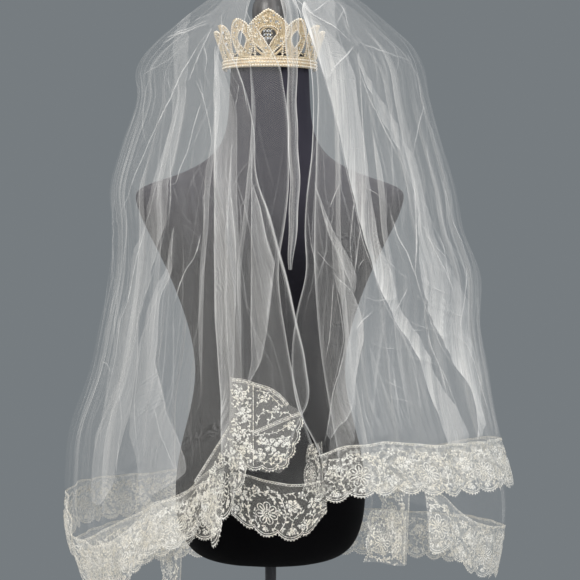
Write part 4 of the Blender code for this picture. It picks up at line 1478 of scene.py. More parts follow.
# Lines of the turned-up corner as distance across and height, and the motifs drawn between them
FLAP_HEADER = (
    (-0.044, 0.4545), (-0.030, 0.4535), (-0.016, 0.4485), (0.004, 0.4415), (0.017, 0.4315), (0.024, 0.4225),
)
FLAP_SEAM = ((-0.019, 0.3870), (0.000, 0.3955), (0.020, 0.4045), (0.0395, 0.4120))
FLAP_BORDER = (
    (-0.045, 0.3480), (-0.030, 0.3455), (-0.010, 0.3435), (0.010, 0.3430), (0.021, 0.3475), (0.028, 0.3600),
    (0.034, 0.3760), (0.0385, 0.3920), (0.0400, 0.4060),
)
FLAP_FOLD = -0.018
FLAP_FLOWERS = (
    # middle, radius, turn
    ((0.004, 0.372), 0.0095, 10),
    ((0.020, 0.377), 0.0080, 40),
    ((-0.011, 0.360), 0.0085, 0),
    ((0.013, 0.358), 0.0065, 20),
    ((0.029, 0.396), 0.0060, 0),
    ((-0.009, 0.377), 0.0055, 30),
    ((-0.004, 0.431), 0.0060, 0),
    ((0.010, 0.417), 0.0050, 25),
)
FLAP_VINES = (
    # width of the stem, length of its leaves, space between them, then places
    (0.0010, 0.0042, 0.0044, (
        (-0.014, 0.352), (0.000, 0.350), (0.014, 0.349), (0.022, 0.360), (0.027, 0.376),
    )),
    (0.0010, 0.0040, 0.0046, (
        (-0.014, 0.396), (-0.010, 0.410), (0.000, 0.416), (0.006, 0.408), (0.000, 0.402),
    )),
    (0.0009, 0.0038, 0.0044, (
        (-0.014, 0.441), (-0.006, 0.440), (0.004, 0.434), (0.010, 0.428), (0.018, 0.420),
    )),
    (0.0009, 0.0036, 0.0042, ((-0.014, 0.420), (-0.010, 0.428), (-0.012, 0.436))),
    (0.0009, 0.0034, 0.0042, ((0.014, 0.408), (0.020, 0.414), (0.027, 0.412))),
)
SEAM_VINE = ((-0.016, 0.384), (-0.006, 0.386), (0.008, 0.388), (0.020, 0.394), (0.032, 0.404))
FOLD_FLOWERS = (
    ((-0.034, 0.437), 0.0085, 10),
    ((-0.028, 0.412), 0.0090, 40),
    ((-0.037, 0.389), 0.0080, 0),
    ((-0.027, 0.368), 0.0085, 25),
)
FOLD_VINES = (
    (0.0011, 0.0046, 0.0048, (
        (-0.042, 0.449), (-0.024, 0.428), (-0.040, 0.402), (-0.024, 0.380), (-0.038, 0.356),
    )),
    (0.0011, 0.0044, 0.0048, (
        (-0.022, 0.446), (-0.038, 0.424), (-0.022, 0.398), (-0.040, 0.372), (-0.024, 0.352),
    )),
)
FOLD_LIFT = 0.0008
FOLD_SEED = 91
FLAP_SEED = 93


def flap_place(across, height, rise):
    """A place on the turned-up corner, which lies on the left front and reaches past its edge."""
    edge = smooth_value(UPPER_LEFT_EDGE, 1, height)
    held = np.minimum(across, edge)
    hem_angle = UPPER.hem_angle(-1, UPPER.share_at(-1, held, height))
    points = UPPER.surface(-1, hem_angle, height, 0.0022 + rise)
    points[..., 0] += across - held
    return points


def scatter(made, area, count, seed):
    """Small leaves strewn between the larger motifs."""
    draw = random.Random(seed)
    (left, low), (right, high) = area
    for _ in range(count):
        size = draw.choice((0.0030, 0.0044, 0.0054))
        spot = (draw.uniform(left, right), draw.uniform(low, high))
        made.petal(spot, size, 0.5 * size, draw.uniform(0, 180), sides=6)


def square_to(line, hand):
    """Unit steps square to a line on the flat, to its left for a hand of 1 and to its right for -1."""
    ahead = np.gradient(line, axis=0)
    across = np.stack([-hand * ahead[:, 1], hand * ahead[:, 0]], axis=1)
    return across / np.linalg.norm(ahead, axis=1, keepdims=True)


def draw_fold():
    """The stitching of the corner's doubled part, left of its fold, on whole lengths of the flat pattern."""
    made = Ornament()
    for middle, size, turn in FOLD_FLOWERS:
        made.flower(middle, size, 5, turn)
    for number, (stem, leaf, every, places) in enumerate(FOLD_VINES):
        made.vine(places, stem, leaf, every, FOLD_SEED + number)
    made.ribbon([(FLAP_FOLD, z) for z in np.linspace(0.449, 0.346, 40)], 0.0012)
    scatter(made, ((-0.045, 0.350), (-0.019, 0.449)), 60, 17)
    return made


def draw_flap():
    """The rest of the corner's stitching: twisted cords, a scalloped border, and motifs between them."""
    made = Ornament()
    for line in (FLAP_HEADER, FLAP_SEAM):
        curve = smooth_line(line, 0.0009)
        wave = 2 * math.pi * reached_along(curve) / 0.0042
        side = square_to(curve, 1)
        for phase in (0, math.pi):
            made.ribbon(curve + side * (0.0009 * np.cos(wave + phase))[:, None], 0.0009)
        made.ribbon(curve + side * 0.0021, 0.0007)
        made.ribbon(curve - side * 0.0021, 0.0007)
    border = smooth_line(FLAP_BORDER, 0.0010)
    out = square_to(border, -1)
    swell = 0.0042 * lobe(reached_along(border) / 0.0190)[:, None]
    made.ribbon(border + out * (swell - 0.0012), 0.0013)
    made.ribbon(border + out * (swell - 0.0038), 0.0009)
    for k in range(3, len(border) - 2, 4):
        made.petal(border[k] + out[k] * (swell[k] - 0.0001), 0.0021, 0.0017, 90, sides=5)
    for middle, size, turn in FLAP_FLOWERS:
        made.flower(middle, size, 5, turn)
    for number, (stem, leaf, every, places) in enumerate(FLAP_VINES):
        made.vine(places, stem, leaf, every, FLAP_SEED + number)
    scatter(made, ((-0.016, 0.352), (0.020, 0.386)), 34, 18)
    scatter(made, ((0.020, 0.366), (0.032, 0.400)), 12, 19)
    made.vine(SEAM_VINE, 0.0009, 0.0036, 0.0042, FLAP_SEED + len(FLAP_VINES))
    return made


def make_flap(look):
    """The lace corner of the left front, turned up over it."""
    columns, rows = 60, 40
    low, high = FLAP_OUTLINE[0][0], FLAP_OUTLINE[-1][0]
    across = np.linspace(low, high, columns + 1)
    top = smooth_value(FLAP_OUTLINE, 1, across)
    scallops = 0.004 * lobe(20 * (across - low) / (high - low) / 4)
    bottom = smooth_value(FLAP_OUTLINE, 2, across) - scallops * (1 - ramp(across, 0.020, 0.030))
    down = np.linspace(0, 1, rows + 1)[:, None]
    height = top + (bottom - top) * down
    spread_out = across[None, :] + 0 * height
    mesh = sheet_mesh(
        "lace_flap", flap_place(spread_out, height, 0.0), {}, {"net": np.stack([spread_out, height], axis=-1)}
    )
    mesh.materials.append(lace_ground(look))
    ground = object_of("lace_flap", mesh)
    doubled = columns // 3
    under, hanging = spread_out[:, :doubled], height[:, :doubled]
    net = np.stack([under, hanging], axis=-1)
    behind = sheet_mesh("lace_flap_under", flap_place(under, hanging, -0.0012), {}, {"net": net})
    behind.materials.append(lace_ground(look))
    pieces = [object_of("lace_flap_under", behind)]
    raised = (("lace_flap_stitching", draw_flap(), STITCH_LIFT), ("lace_flap_fold", draw_fold(), FOLD_LIFT))
    for name, made, lift in raised:
        flat = np.array(made.points)
        points = flap_place(flat[:, 0], flat[:, 1], lift + np.array(made.rise))
        pieces.append(object_of(name, flat_mesh(name, points, made.faces, lace_thread(look))))
    fit(ground, "flap_lace")
    for piece in pieces:
        fit(piece)


def make_strip(look):
    """The narrow doubled edge of tulle that hangs in the front opening."""
    rows, columns = 120, 11
    points, haze = [], []
    top, bottom = STRIP_OUTLINE[-1][0], STRIP_OUTLINE[0][0]
    for height in np.linspace(top, bottom, rows):
        middle, half, deep = (float(smooth_value(STRIP_OUTLINE, k, height)) for k in (1, 2, 3))
        sway = 0.0010 * math.sin(38 * height) + 0.0006 * math.sin(91 * height)
        row = []
        for k in np.linspace(-1, 1, columns):
            out = deep + 0.0034 * (1 - k * k) + 0.0012 * math.cos(5.2 * k)
            row.append((middle + half * k + sway, -out, height))
        points.append(row)
        across = np.linspace(-1, 1, columns)
        haze.append(3.0 + 7 * bell((1 - np.abs(across)) / 0.20) + 1.6 * np.cos(5 * across + 21 * height))
    points = np.array(points)
    layers = 1 - (1 - look.tulle_cover) ** np.maximum(np.array(haze), 0)
    flat = np.stack([arc(points, 1), arc(points, 0)], axis=-1)
    covers = {"haze": layers, "body": 0 * layers + 1}
    mesh = sheet_mesh("tulle_folded_edge", points, covers, {"net": flat, "strand": flat})
    mesh.materials.append(tulle_material(look))
    piece = fit(object_of("tulle_folded_edge", mesh), "lower_tier_folded_edge")
    wide, tall = float(flat[..., 0].max()), float(flat[..., 1].max())
    area = min(float(surface_area(points)), 0.98 * wide * tall)


# ---------------------------------------------------------------- hard pieces


BAND_RADIUS = 0.0610
BAND_WALL = 0.0022
BAND_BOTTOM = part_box("tiara_band")[0][2]
BAND_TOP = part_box("tiara_band")[1][2]
BAND_HALF_ANGLE = 104.0
BAND_ROWS = 3
TIARA_FLARE = 0.34
COMB_STITCHES = 64
STITCH_SIZE = 0.0009


def deselect():
    if bpy.context.object and bpy.context.object.mode != "OBJECT":
        bpy.ops.object.mode_set(mode="OBJECT")
    bpy.ops.object.select_all(action="DESELECT")


def finished(name, shader, crease):
    """Names the active object, gives it its material and smooths it below an angle in degrees."""
    obj = bpy.context.object
    obj.name = obj.data.name = name
    bpy.ops.object.transform_apply(location=True, rotation=True, scale=True)
    obj.data.materials.clear()
    obj.data.materials.append(shader)
    bpy.ops.object.shade_smooth_by_angle(angle=math.radians(crease))
    return obj


def turned(name, profile, shader, steps=56):
    """A turned piece: a profile of (radius, height) from the axis to the axis, spun round it."""
    deselect()
    bpy.ops.mesh.primitive_plane_add(size=0.01)
    bpy.ops.object.mode_set(mode="EDIT")
    bpy.ops.mesh.delete(type="VERT")
    obj = bpy.context.object
    bm = bmesh.from_edit_mesh(obj.data)
    line = [bm.verts.new((radius, 0.0, height)) for radius, height in profile]
    for a, b in zip(line, line[1:]):
        bm.edges.new((a, b))
    bmesh.update_edit_mesh(obj.data)
    bpy.ops.mesh.select_all(action="SELECT")
    bpy.ops.mesh.spin(steps=steps, angle=2 * math.pi, center=(0.0, 0.0, 0.0), axis=(0, 0, 1))
    bpy.ops.mesh.select_all(action="SELECT")
    bpy.ops.mesh.remove_doubles(threshold=0.00002)
    bpy.ops.mesh.normals_make_consistent(inside=False)
    bpy.ops.object.mode_set(mode="OBJECT")
    return finished(name, shader, 35)


def rounded(profile, corner=0.0008):
    """A profile with each inner corner eased by two points."""
    eased = [profile[0]]
    for before, here, after in zip(profile, profile[1:], profile[2:]):
        for other in (before, after):
            way = np.array(other) - np.array(here)
            length = np.linalg.norm(way)
            eased.append(tuple(np.array(here) + way / length * min(corner, 0.3 * length)))
    eased.append(profile[-1])
    return eased


def bead_shape(detail, squash):
    """One bead of unit radius as points and faces: a sphere, pressed a little flat along its hole."""
    deselect()
    bpy.ops.mesh.primitive_ico_sphere_add(subdivisions=detail, radius=1.0)
    bpy.ops.object.mode_set(mode="EDIT")
    bpy.ops.mesh.select_all(action="SELECT")
    bpy.ops.transform.resize(value=(1.0, 1.0, squash))
    bpy.ops.object.mode_set(mode="OBJECT")
    obj = bpy.context.object
    points = np.array([vertex.co[:] for vertex in obj.data.vertices])
    faces = [tuple(face.vertices) for face in obj.data.polygons]
    bpy.data.objects.remove(obj, do_unlink=True)
    return points, faces


def crystal_shape():
    """One cut stone of unit radius: a flat table, a girdle and a point behind."""
    deselect()
    bpy.ops.mesh.primitive_cone_add(vertices=8, radius1=1.0, radius2=0.0, depth=0.9, location=(0, 0, 0))
    bpy.ops.object.mode_set(mode="EDIT")
    bpy.ops.mesh.select_all(action="DESELECT")
    bpy.ops.object.mode_set(mode="OBJECT")
    obj = bpy.context.object
    for face in obj.data.polygons:
        face.select = face.normal.z < -0.9
    bpy.ops.object.mode_set(mode="EDIT")
    bpy.ops.mesh.select_mode(type="FACE")
    bpy.ops.mesh.inset(thickness=0.40, depth=0.30)
    bpy.ops.object.mode_set(mode="OBJECT")
    points = np.array([vertex.co[:] for vertex in obj.data.vertices])
    faces = [tuple(face.vertices) for face in obj.data.polygons]
    bpy.data.objects.remove(obj, do_unlink=True)
    return points, faces


def strung(name, shape, places, sizes, shader, facing=False):
    """Copies of a bead at places with sizes, joined. Stones face out from the form and keep their edges."""
    points, faces = shape
    whole, used = [], []
    for number, (place, size) in enumerate(zip(places, sizes)):
        copy = points * size
        if facing:
            out = Vector((place[0], place[1], 0.0)).normalized()
            turn = np.array(out.to_track_quat("-Z", "Y").to_matrix())
            copy = copy @ turn.T
        whole.append(copy + np.array(place))
        used += [tuple(i + number * len(points) for i in face) for face in faces]
    mesh = bpy.data.meshes.new(name)
    mesh.from_pydata(np.concatenate(whole).tolist(), [], used)
    mesh.materials.append(shader)
    if not facing:
        mesh.shade_smooth()
    return fit(object_of(name, mesh))


# ---------------------------------------------------------------- tiara


class Motif:
    """A shape on the tiara's surface: half width, foot and top, and a profile by shares of rise and half."""

    def __init__(self, half, foot, top, profile):
        self.half, self.foot, self.top, self.profile = half, foot, top, profile

    def half_at(self, rise):
        """Half its width at a height, and 0 outside it."""
        share = (rise - self.foot) / (self.top - self.foot)
        if share < 0 or share > 1:
            return 0.0
        return self.half * float(smooth_value(self.profile, 1, share))

    def outline(self, gap):
        """Places along its whole outline, a gap apart."""
        rises = np.linspace(self.foot, self.top, 120)
        right = [(self.half_at(rise), rise) for rise in rises]
        line = np.array(right + [(-across, rise) for across, rise in reversed(right)])
        reached = reached_along(line)
        at = np.linspace(0, reached[-1], max(3, int(reached[-1] / gap)), endpoint=False)
        across, rise = (np.interp(at, reached, line[:, k]) for k in (0, 1))
        return list(zip(across.tolist(), rise.tolist()))


MOTIF_FOOT = 0.0010
TIARA_MOTIFS = {
    # place in degrees, then the shape
    "peak": (0.0, Motif(0.0235, MOTIF_FOOT, 0.0592, (
        (0.0, 0.10), (0.12, 0.30), (0.30, 0.76), (0.48, 1.0), (0.62, 0.98), (0.74, 0.76), (0.84, 0.52),
        (0.93, 0.24), (1.0, 0.02),
    ))),
    "arch": (30.0, Motif(0.0135, MOTIF_FOOT, 0.0485, (
        (0.0, 0.55), (0.15, 0.80), (0.40, 1.0), (0.62, 0.98), (0.80, 0.76), (0.92, 0.46), (1.0, 0.05),
    ))),
    "column": (53.0, Motif(0.0085, MOTIF_FOOT, 0.0425, (
        (0.0, 0.60), (0.25, 0.66), (0.45, 0.86), (0.66, 1.0), (0.82, 0.86), (0.93, 0.50), (1.0, 0.06),
    ))),
    "fan": (72.0, Motif(0.0125, MOTIF_FOOT, 0.0375, (
        (0.0, 0.35), (0.30, 0.55), (0.60, 0.86), (0.82, 1.0), (0.93, 0.86), (1.0, 0.45),
    ))),
}
TIARA_WINDOWS = {
    "peak": Motif(0.0105, 0.0130, 0.0385, (
        (0.0, 0.04), (0.35, 0.50), (0.68, 0.98), (0.88, 0.92), (1.0, 0.45),
    )),
    "arch": Motif(0.0062, 0.0110, 0.0355, ((0.0, 0.05), (0.45, 1.0), (0.62, 0.96), (1.0, 0.05))),
}
FAN_LEAN = 0.10
EDGE_PEARL, EDGE_GAP = 0.00145, 0.0027
WINDOW_PEARL, WINDOW_GAP = 0.00125, 0.0023
# Beads between a motif's edge and its window: clear of both by these, on rows and places this far apart
EDGE_CLEAR, WINDOW_CLEAR = 0.0016, 0.0013
ROW_PITCH, BEAD_PITCH = 0.00175, 0.0020
# Stones up each column's middle, as height and radius
COLUMN_STONES = ((0.0335, 0.0023), (0.0262, 0.0016), (0.0190, 0.0023), (0.0120, 0.0016))
ROSETTE_RADIUS = 0.0033
FESTOON_REACH = 84
FESTOON_PITCH = 0.0098


def on_tiara(across, rise, outwards=0.0):
    """A point of the tiara's flared surface. across is a distance from its middle, measured round it."""
    radius = BAND_RADIUS + BAND_WALL / 2 + TIARA_FLARE * rise + outwards
    turn = across / (BAND_RADIUS + BAND_WALL)
    return (radius * math.sin(turn), -radius * math.cos(turn), BAND_TOP + rise)


def motif_plate(name, middle, lean):
    """Points and faces of the stiff ground behind one motif's beads, open at its window."""
    motif, hole = TIARA_MOTIFS[name][1], TIARA_WINDOWS.get(name)
    points, faces = [], []
    rises = np.linspace(motif.foot, motif.top, 44)
    columns = 7
    for side in (-1, 1):
        first = len(points)
        for rise in rises:
            outer = motif.half_at(rise)
            inner = min(hole.half_at(rise), outer) if hole else 0.0
            for k in range(columns):
                across = inner + (outer - inner) * k / (columns - 1)
                points.append(on_tiara(middle + side * across + lean * rise, rise, -0.0004))
        faces += [tuple(int(i) for i in face) for face in grid_faces(len(rises), columns, first)]
    return points, faces


class Beads:
    """Places and sizes of beads of one kind, gathered before they are strung."""

    def __init__(self):
        self.places = []
        self.sizes = []

    def add(self, place, size):
        self.places.append(place)
        self.sizes.append(size)


def make_tiara(look):
    """Pearls, beads and stones of the tiara, on its wires, band and stiffened ground."""
    draw = random.Random(61)
    pearls, seeds, stones = Beads(), Beads(), Beads()
    around = BAND_RADIUS + BAND_WALL
    step = look.pearl_width / around
    for row in range(BAND_ROWS):
        height = BAND_BOTTOM + (row + 0.5) / BAND_ROWS * (BAND_TOP - BAND_BOTTOM)
        for k in range(int(math.radians(2 * BAND_HALF_ANGLE - 2) / step)):
            turn = math.radians(1 - BAND_HALF_ANGLE) + (k + 0.5 * (row % 2)) * step
            radius = around + 0.0008
            place = (radius * math.sin(turn), -radius * math.cos(turn), height)
            pearls.add(place, look.pearl_width / 2 * draw.uniform(0.96, 1.06))
    ground_points, ground_faces = [], []
    for name, (place, motif) in TIARA_MOTIFS.items():
        for side in (1,) if name == "peak" else (-1, 1):
            middle = side * math.radians(place) * around
            lean = side * FAN_LEAN if name == "fan" else 0.0
            points, faces = motif_plate(name, middle, lean)
            ground_faces += [tuple(i + len(ground_points) for i in face) for face in faces]
            ground_points += points
            hole = TIARA_WINDOWS.get(name)
            for across, rise in motif.outline(EDGE_GAP):
                spot = on_tiara(middle + across + lean * rise, rise, 0.0008)
                pearls.add(spot, EDGE_PEARL * draw.uniform(0.92, 1.08))
            if hole:
                for across, rise in hole.outline(WINDOW_GAP):
                    pearls.add(on_tiara(middle + across, rise, 0.0013), WINDOW_PEARL)
            rise, row = motif.foot + EDGE_CLEAR, 0
            while rise < motif.top - 0.0012:
                reach = motif.half_at(rise) - EDGE_CLEAR
                across = -reach + BEAD_PITCH / 2 * (row % 2)
                while across < reach:
                    clear = hole is None or abs(across) > hole.half_at(rise) + WINDOW_CLEAR
                    ribbed = name == "fan" and int((across / max(reach, 0.001) + 1) * 3.5) % 2
                    if clear and draw.random() > 0.05:
                        out = 0.0009 * ribbed + draw.uniform(0, 0.0007)
                        spot = on_tiara(middle + across + lean * rise, rise, out)
                        if draw.random() < 0.16:
                            pearls.add(spot, draw.uniform(0.0012, 0.0017))
                        elif draw.random() < 0.07:
                            stones.add(spot, draw.uniform(0.0010, 0.0014))
                        else:
                            seeds.add(spot, draw.uniform(0.00085, 0.00118))
                    across += BEAD_PITCH
                rise += ROW_PITCH
                row += 1
    for drop in range(9):
        across = -0.0050 + 0.0036 * (drop % 3) + draw.uniform(-0.0005, 0.0005)
        rise = 0.0235 + 0.0045 * (drop // 3)
        if abs(across) < TIARA_WINDOWS["peak"].half_at(rise) - 0.0012:
            stones.add(on_tiara(across, rise, 0.0006), 0.0015)
            seeds.add(on_tiara(across + 0.0016, rise + 0.0016, 0.0004), 0.0009)
    for side in (-1, 1):
        middle = side * math.radians(TIARA_MOTIFS["column"][0]) * around
        for rise, size in COLUMN_STONES:
            stones.add(on_tiara(middle, rise, 0.0024), size)
            for k in range(8 if size > 0.002 else 0):
                turn = math.pi * k / 4
                across = middle + ROSETTE_RADIUS * math.cos(turn)
                pearls.add(on_tiara(across, rise + ROSETTE_RADIUS * math.sin(turn), 0.0014), 0.00095)
        for k in range(7):
            pearls.add(on_tiara(side * 0.0178, 0.0016 + 0.0028 * k, 0.0018), 0.0016 - 0.00008 * k)
    reach = around * math.radians(FESTOON_REACH)
    for across in np.arange(-reach, reach, BEAD_PITCH):
        for layer, size in ((0.0012, 0.00125), (0.0044, 0.0010)):
            rise = layer + 0.0026 * abs(math.sin(math.pi * across / FESTOON_PITCH)) * (layer > 0.002)
            seeds.add(on_tiara(across, rise, 0.0004), size * draw.uniform(0.92, 1.08))
    kit = (
        ("tiara_pearls", bead_shape(2, 0.96), pearls, pearl_finish(look), False),
        ("tiara_beads", bead_shape(1, 0.90), seeds, bead_finish(look), False),
        ("tiara_stones", crystal_shape(), stones, stone_finish(), True),
    )
    for name, shape, beads, finish, facing in kit:
        strung(name, shape, beads.places, beads.sizes, finish, facing)
    wire = Shader("tiara_wire", tuple(look.wire_colour), 0.40, metallic=0.3)
    worn = wire.noise(wire.place(), 700.0, 3.0, 0.6)
    wire.to("Roughness", wire.between(worn, 0.3, 0.7, 0.30, 0.52))
    wire.bump(worn, 0.2, 0.0002)
    mesh = bpy.data.meshes.new("tiara_ground")
    mesh.from_pydata(ground_points, [], ground_faces)
    mesh.materials.append(wire.material)
    mesh.shade_smooth()
    fit(object_of("tiara_ground", mesh))
    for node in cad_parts:
        if node.startswith("tiara_"):
            dress_node(node, wire.material)


def dress_node(name, shader):
    """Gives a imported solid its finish."""
    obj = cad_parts[name]
    if not obj.material_slots:
        obj.data.materials.append(shader)
    for slot in obj.material_slots:
        slot.material = shader


def pearl_finish(look):
    shader = Shader("pearl", tuple(look.pearl_colour), 0.22, coat=0.6, specular=0.6)
    tint = shader.noise(shader.place(), 160.0, 2.0)
    pale = tuple(look.pearl_colour)
    rosy = (pale[0], pale[1] * 0.90, pale[2] * 0.80)
    shader.to("Base Color", shader.mix(shader.between(tint, 0.35, 0.65), pale, rosy))
    shader.to("Roughness", shader.between(tint, 0.3, 0.7, 0.16, 0.30))
    return shader.material


def bead_finish(look):
    shader = Shader("seed_bead", tuple(look.bead_colour), 0.30, specular=0.6, coat=0.4)
    tint = shader.noise(shader.place(), 420.0, 2.0)
    warm = tuple(look.bead_colour)
    pale = tuple(min(1.0, c * k) for c, k in zip(warm, (1.16, 1.20, 1.30)))
    shader.to("Base Color", shader.mix(shader.between(tint, 0.4, 0.62), warm, pale))
    return shader.material


def stone_finish():
    shader = Shader("cut_stone", (0.90, 0.92, 0.94), 0.06, transmission=0.55, ior=1.62, specular=0.8)
    cloud = shader.noise(shader.place(), 500.0, 2.0)
    shader.to("Roughness", shader.between(cloud, 0.3, 0.7, 0.03, 0.10))
    return shader.material


FINIAL_PROFILE = (
    # share of the radius, share of the height
    (0.0, 0.0), (0.985, 0.0), (1.0, 0.02), (1.0, 0.055), (0.93, 0.085), (0.66, 0.115), (0.54, 0.17),
    (0.50, 0.22), (0.53, 0.27), (0.66, 0.34), (0.82, 0.44), (0.92, 0.54), (0.925, 0.62), (0.87, 0.71),
    (0.73, 0.79), (0.56, 0.86), (0.46, 0.90), (0.43, 0.93), (0.41, 0.98), (0.33, 1.0), (0.0, 1.0),
)


def make_form(look):
    """Torso in stretch jersey, neck cap, turned finial, pole and base."""
    deselect()
    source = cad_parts["dress_form"]
    copy = object_of("form_torso", source.data.copy())
    copy.matrix_world = source.matrix_world
    bpy.context.view_layer.objects.active = copy
    copy.select_set(True)
    bpy.ops.object.mode_set(mode="EDIT")
    bpy.ops.mesh.select_all(action="SELECT")
    bpy.ops.mesh.remove_doubles(threshold=0.00005)
    bpy.ops.mesh.tris_convert_to_quads(face_threshold=math.radians(60), shape_threshold=math.radians(60))
    bpy.ops.mesh.normals_make_consistent(inside=False)
    bpy.ops.object.mode_set(mode="OBJECT")
    smooth = copy.modifiers.new("smooth", "SUBSURF")
    smooth.levels = smooth.render_levels = 2
    bpy.ops.object.modifier_apply(modifier="smooth")
    fit(finished("form_torso", jersey_finish(look), 60), "dress_form")
    low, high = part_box("neck_cap")
    radius = high[0]
    cap = rounded([
        (0, low[2]), (radius - 0.0015, low[2]), (radius, low[2] + 0.002), (radius, high[2] - 0.006),
        (radius * 0.93, high[2] - 0.0012), (radius * 0.80, high[2]), (0, high[2]),
    ])
    fit(turned("form_neck_cap", cap, cap_finish()), "neck_cap")
    low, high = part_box("finial")
    tall = high[2] - low[2]
    finial = [(share * high[0], low[2] + up * tall) for share, up in FINIAL_PROFILE]
    fit(turned("form_finial", finial, wood_finish(look)), "finial")
    low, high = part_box("pole")
    pole = [(0, low[2]), (high[0], low[2]), (high[0], high[2]), (0, high[2])]
    steel = steel_finish()
    fit(turned("form_pole", rounded(pole, 0.0006), steel, 40), "pole")
    collar = [
        (0.0082, 0.0162), (0.0165, 0.0162), (0.0170, 0.0200), (0.0140, 0.0260), (0.0118, 0.0300),
        (0.0082, 0.0305),
    ]
    fit(turned("form_pole_collar", collar + [collar[0]], steel, 40))
    low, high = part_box("base")
    wide, tall = high[0], high[2]
    base = [(0, 0), (wide - 0.002, 0), (wide, 0.002), (wide, tall * 0.45), (wide * 0.985, tall * 0.66),
            (wide * 0.96, tall * 0.82), (wide * 0.92, tall * 0.94), (wide * 0.88, tall), (0, tall)]
    fit(turned("form_base", base, steel, 96), "base")


def jersey_finish(look):
    worn = tuple(look.jersey_colour)
    shader = Shader("form_jersey", worn, 0.95, specular=0.05, sheen=0.03, sheen_roughness=0.5)
    knit = shader.add("ShaderNodeTexWave", 1, (shader.place(), 950.0, 1.5, 1.0), bands_direction="X")
    lint = shader.noise(shader.place(), 120.0, 4.0, 0.7)
    deep = tuple(0.12 * c for c in worn)
    linty = tuple(1.7 * c for c in worn)
    # Painted light and shade by height: deep is a painted shade that darkens the jersey towards the bottom,
    # and the pale colour near the top is a painted highlight towards the neck and shoulders. Only the lint
    # speckle is the cloth's own tone.
    height = shader.add("ShaderNodeSeparateXYZ", 2, (shader.place(),))
    faded = shader.mix(shader.between(lint, 0.45, 0.8), worn, linty)
    painted_light_top = tuple(4.2 * c for c in worn)
    upper = shader.mix(shader.between(height, 0.56, 0.80), faded, painted_light_top)
    shader.to("Base Color", shader.mix(shader.between(height, 0.22, 0.62), deep, upper))
    shader.bump(shader.math("ADD", knit, lint), 0.35, 0.0003)
    return shader.material


def cap_finish():
    shader = Shader("form_cap", (0.016, 0.015, 0.018), 0.5, specular=0.3)
    grain = shader.noise(shader.place(), 500.0, 3.0)
    shader.to("Roughness", shader.between(grain, 0.3, 0.7, 0.42, 0.62))
    shader.bump(grain, 0.15, 0.0002)
    return shader.material


def wood_finish(look):
    shader = Shader("form_wood", tuple(look.wood_colour), 0.42, coat=0.25)
    rings = shader.noise(shader.scaled(shader.place(), 42.0, 42.0, 7.0), 2.0, 5.0, 0.6)
    pores = shader.noise(shader.scaled(shader.place(), 900.0, 900.0, 60.0), 1.0, 2.0)
    dark = tuple(0.55 * c for c in look.wood_colour)
    shader.to("Base Color", shader.mix(shader.between(rings, 0.35, 0.65), dark, tuple(look.wood_colour)))
    shader.to("Roughness", shader.between(pores, 0.3, 0.7, 0.34, 0.52))
    shader.bump(pores, 0.15, 0.0002)
    return shader.material


def steel_finish():
    shader = Shader("form_steel", (0.05, 0.05, 0.055), 0.4, metallic=0.6, specular=0.5)
    wear = shader.noise(shader.place(), 90.0, 5.0, 0.6)
    shader.to("Roughness", shader.between(wear, 0.3, 0.7, 0.34, 0.55))
    fine = shader.noise(shader.place(), 1400.0, 2.0)
    shader.bump(fine, 0.12, 0.0001)
    return shader.material


def make_comb(look):
    """Comb under the crown of the veil: an oval spine bound in satin, with a stitched rim."""
    pale = tuple(look.satin_colour)
    shader = Shader("comb_satin", pale, 0.38, sheen=0.4, sheen_roughness=0.3, specular=0.4)
    weave = shader.add("ShaderNodeTexWave", 1, (shader.place(), 420.0, 3.0, 2.0), bands_direction="X")
    shader.bump(weave, 0.3, 0.0003)
    cloudy = shader.noise(shader.place(), 70.0, 3.0)
    worn = tuple(0.86 * c for c in pale)
    shader.to("Base Color", shader.mix(shader.between(cloudy, 0.35, 0.7), pale, worn))
    dress_node("veil_comb", shader.material)
    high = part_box("veil_comb")[1]
    half, deep = high[0] - 0.0006, high[1] - 0.0004
    stitches = []
    for k in range(COMB_STITCHES):
        turn = 2 * math.pi * k / COMB_STITCHES
        sine, cosine = math.sin(turn), math.cos(turn)
        x = math.copysign(abs(sine) ** (2 / ROUNDNESS), sine) * half
        y = math.copysign(abs(cosine) ** (2 / ROUNDNESS), cosine) * deep
        stitches.append((x, y, high[2] - 0.0006))
    sizes = [STITCH_SIZE] * len(stitches)
    strung("comb_stitches", bead_shape(1, 0.6), stitches, sizes, shader.material)


def tulle_plan():
    """Each stretch of tulle: tier, side, rows, columns, pleats, creases, fine pleats and seeded creases."""
    sides = {-1: (-SIDE_ANGLE, 20.0), 1: (8.0, SIDE_ANGLE), 0: (SIDE_ANGLE, 360 - SIDE_ANGLE)}
    tables = {-1: LEFT_PLEATS, 1: RIGHT_PLEATS}
    creases = {-1: LEFT_CREASES, 1: RIGHT_CREASES, 0: ()}
    for side in (-1, 1, 0):
        rows, columns = (250, 290) if side else (130, 230)

        def upper_pleats(shares, side=side):
            if side:
                return table_pleats(UPPER, side, tables[side], shares)
            return loose_pleats(31, 8, shares, 0.012)

        def lower_pleats(shares, side=side):
            return loose_pleats(47 + side, 6 if side else 7, shares, 0.011)

        seeded = (90 if side else 110, *sides[side], 2.2)
        fine = fine_pleats(11 + side, 26, *sides[side])
        lines = creases[side] + pleat_lines(tables[side]) if side else ()
        yield UPPER, side, rows, columns, upper_pleats, lines, fine, seeded
        rows, columns = (110, 170) if side else (100, 190)
        seeded = (40 if side else 60, *sides[side], 1.6)
        yield LOWER, side, rows, columns, lower_pleats, (), fine_pleats(23 + side, 18, *sides[side]), seeded


# ---------------------------------------------------------------- add-on


def colour_value(name, description, colour):
    return bpy.props.FloatVectorProperty(
        name=name, description=description, subtype="COLOR", size=3, default=colour
    )


def length_value(name, description, length):
    return bpy.props.FloatProperty(name=name, description=description, default=length, unit="LENGTH")


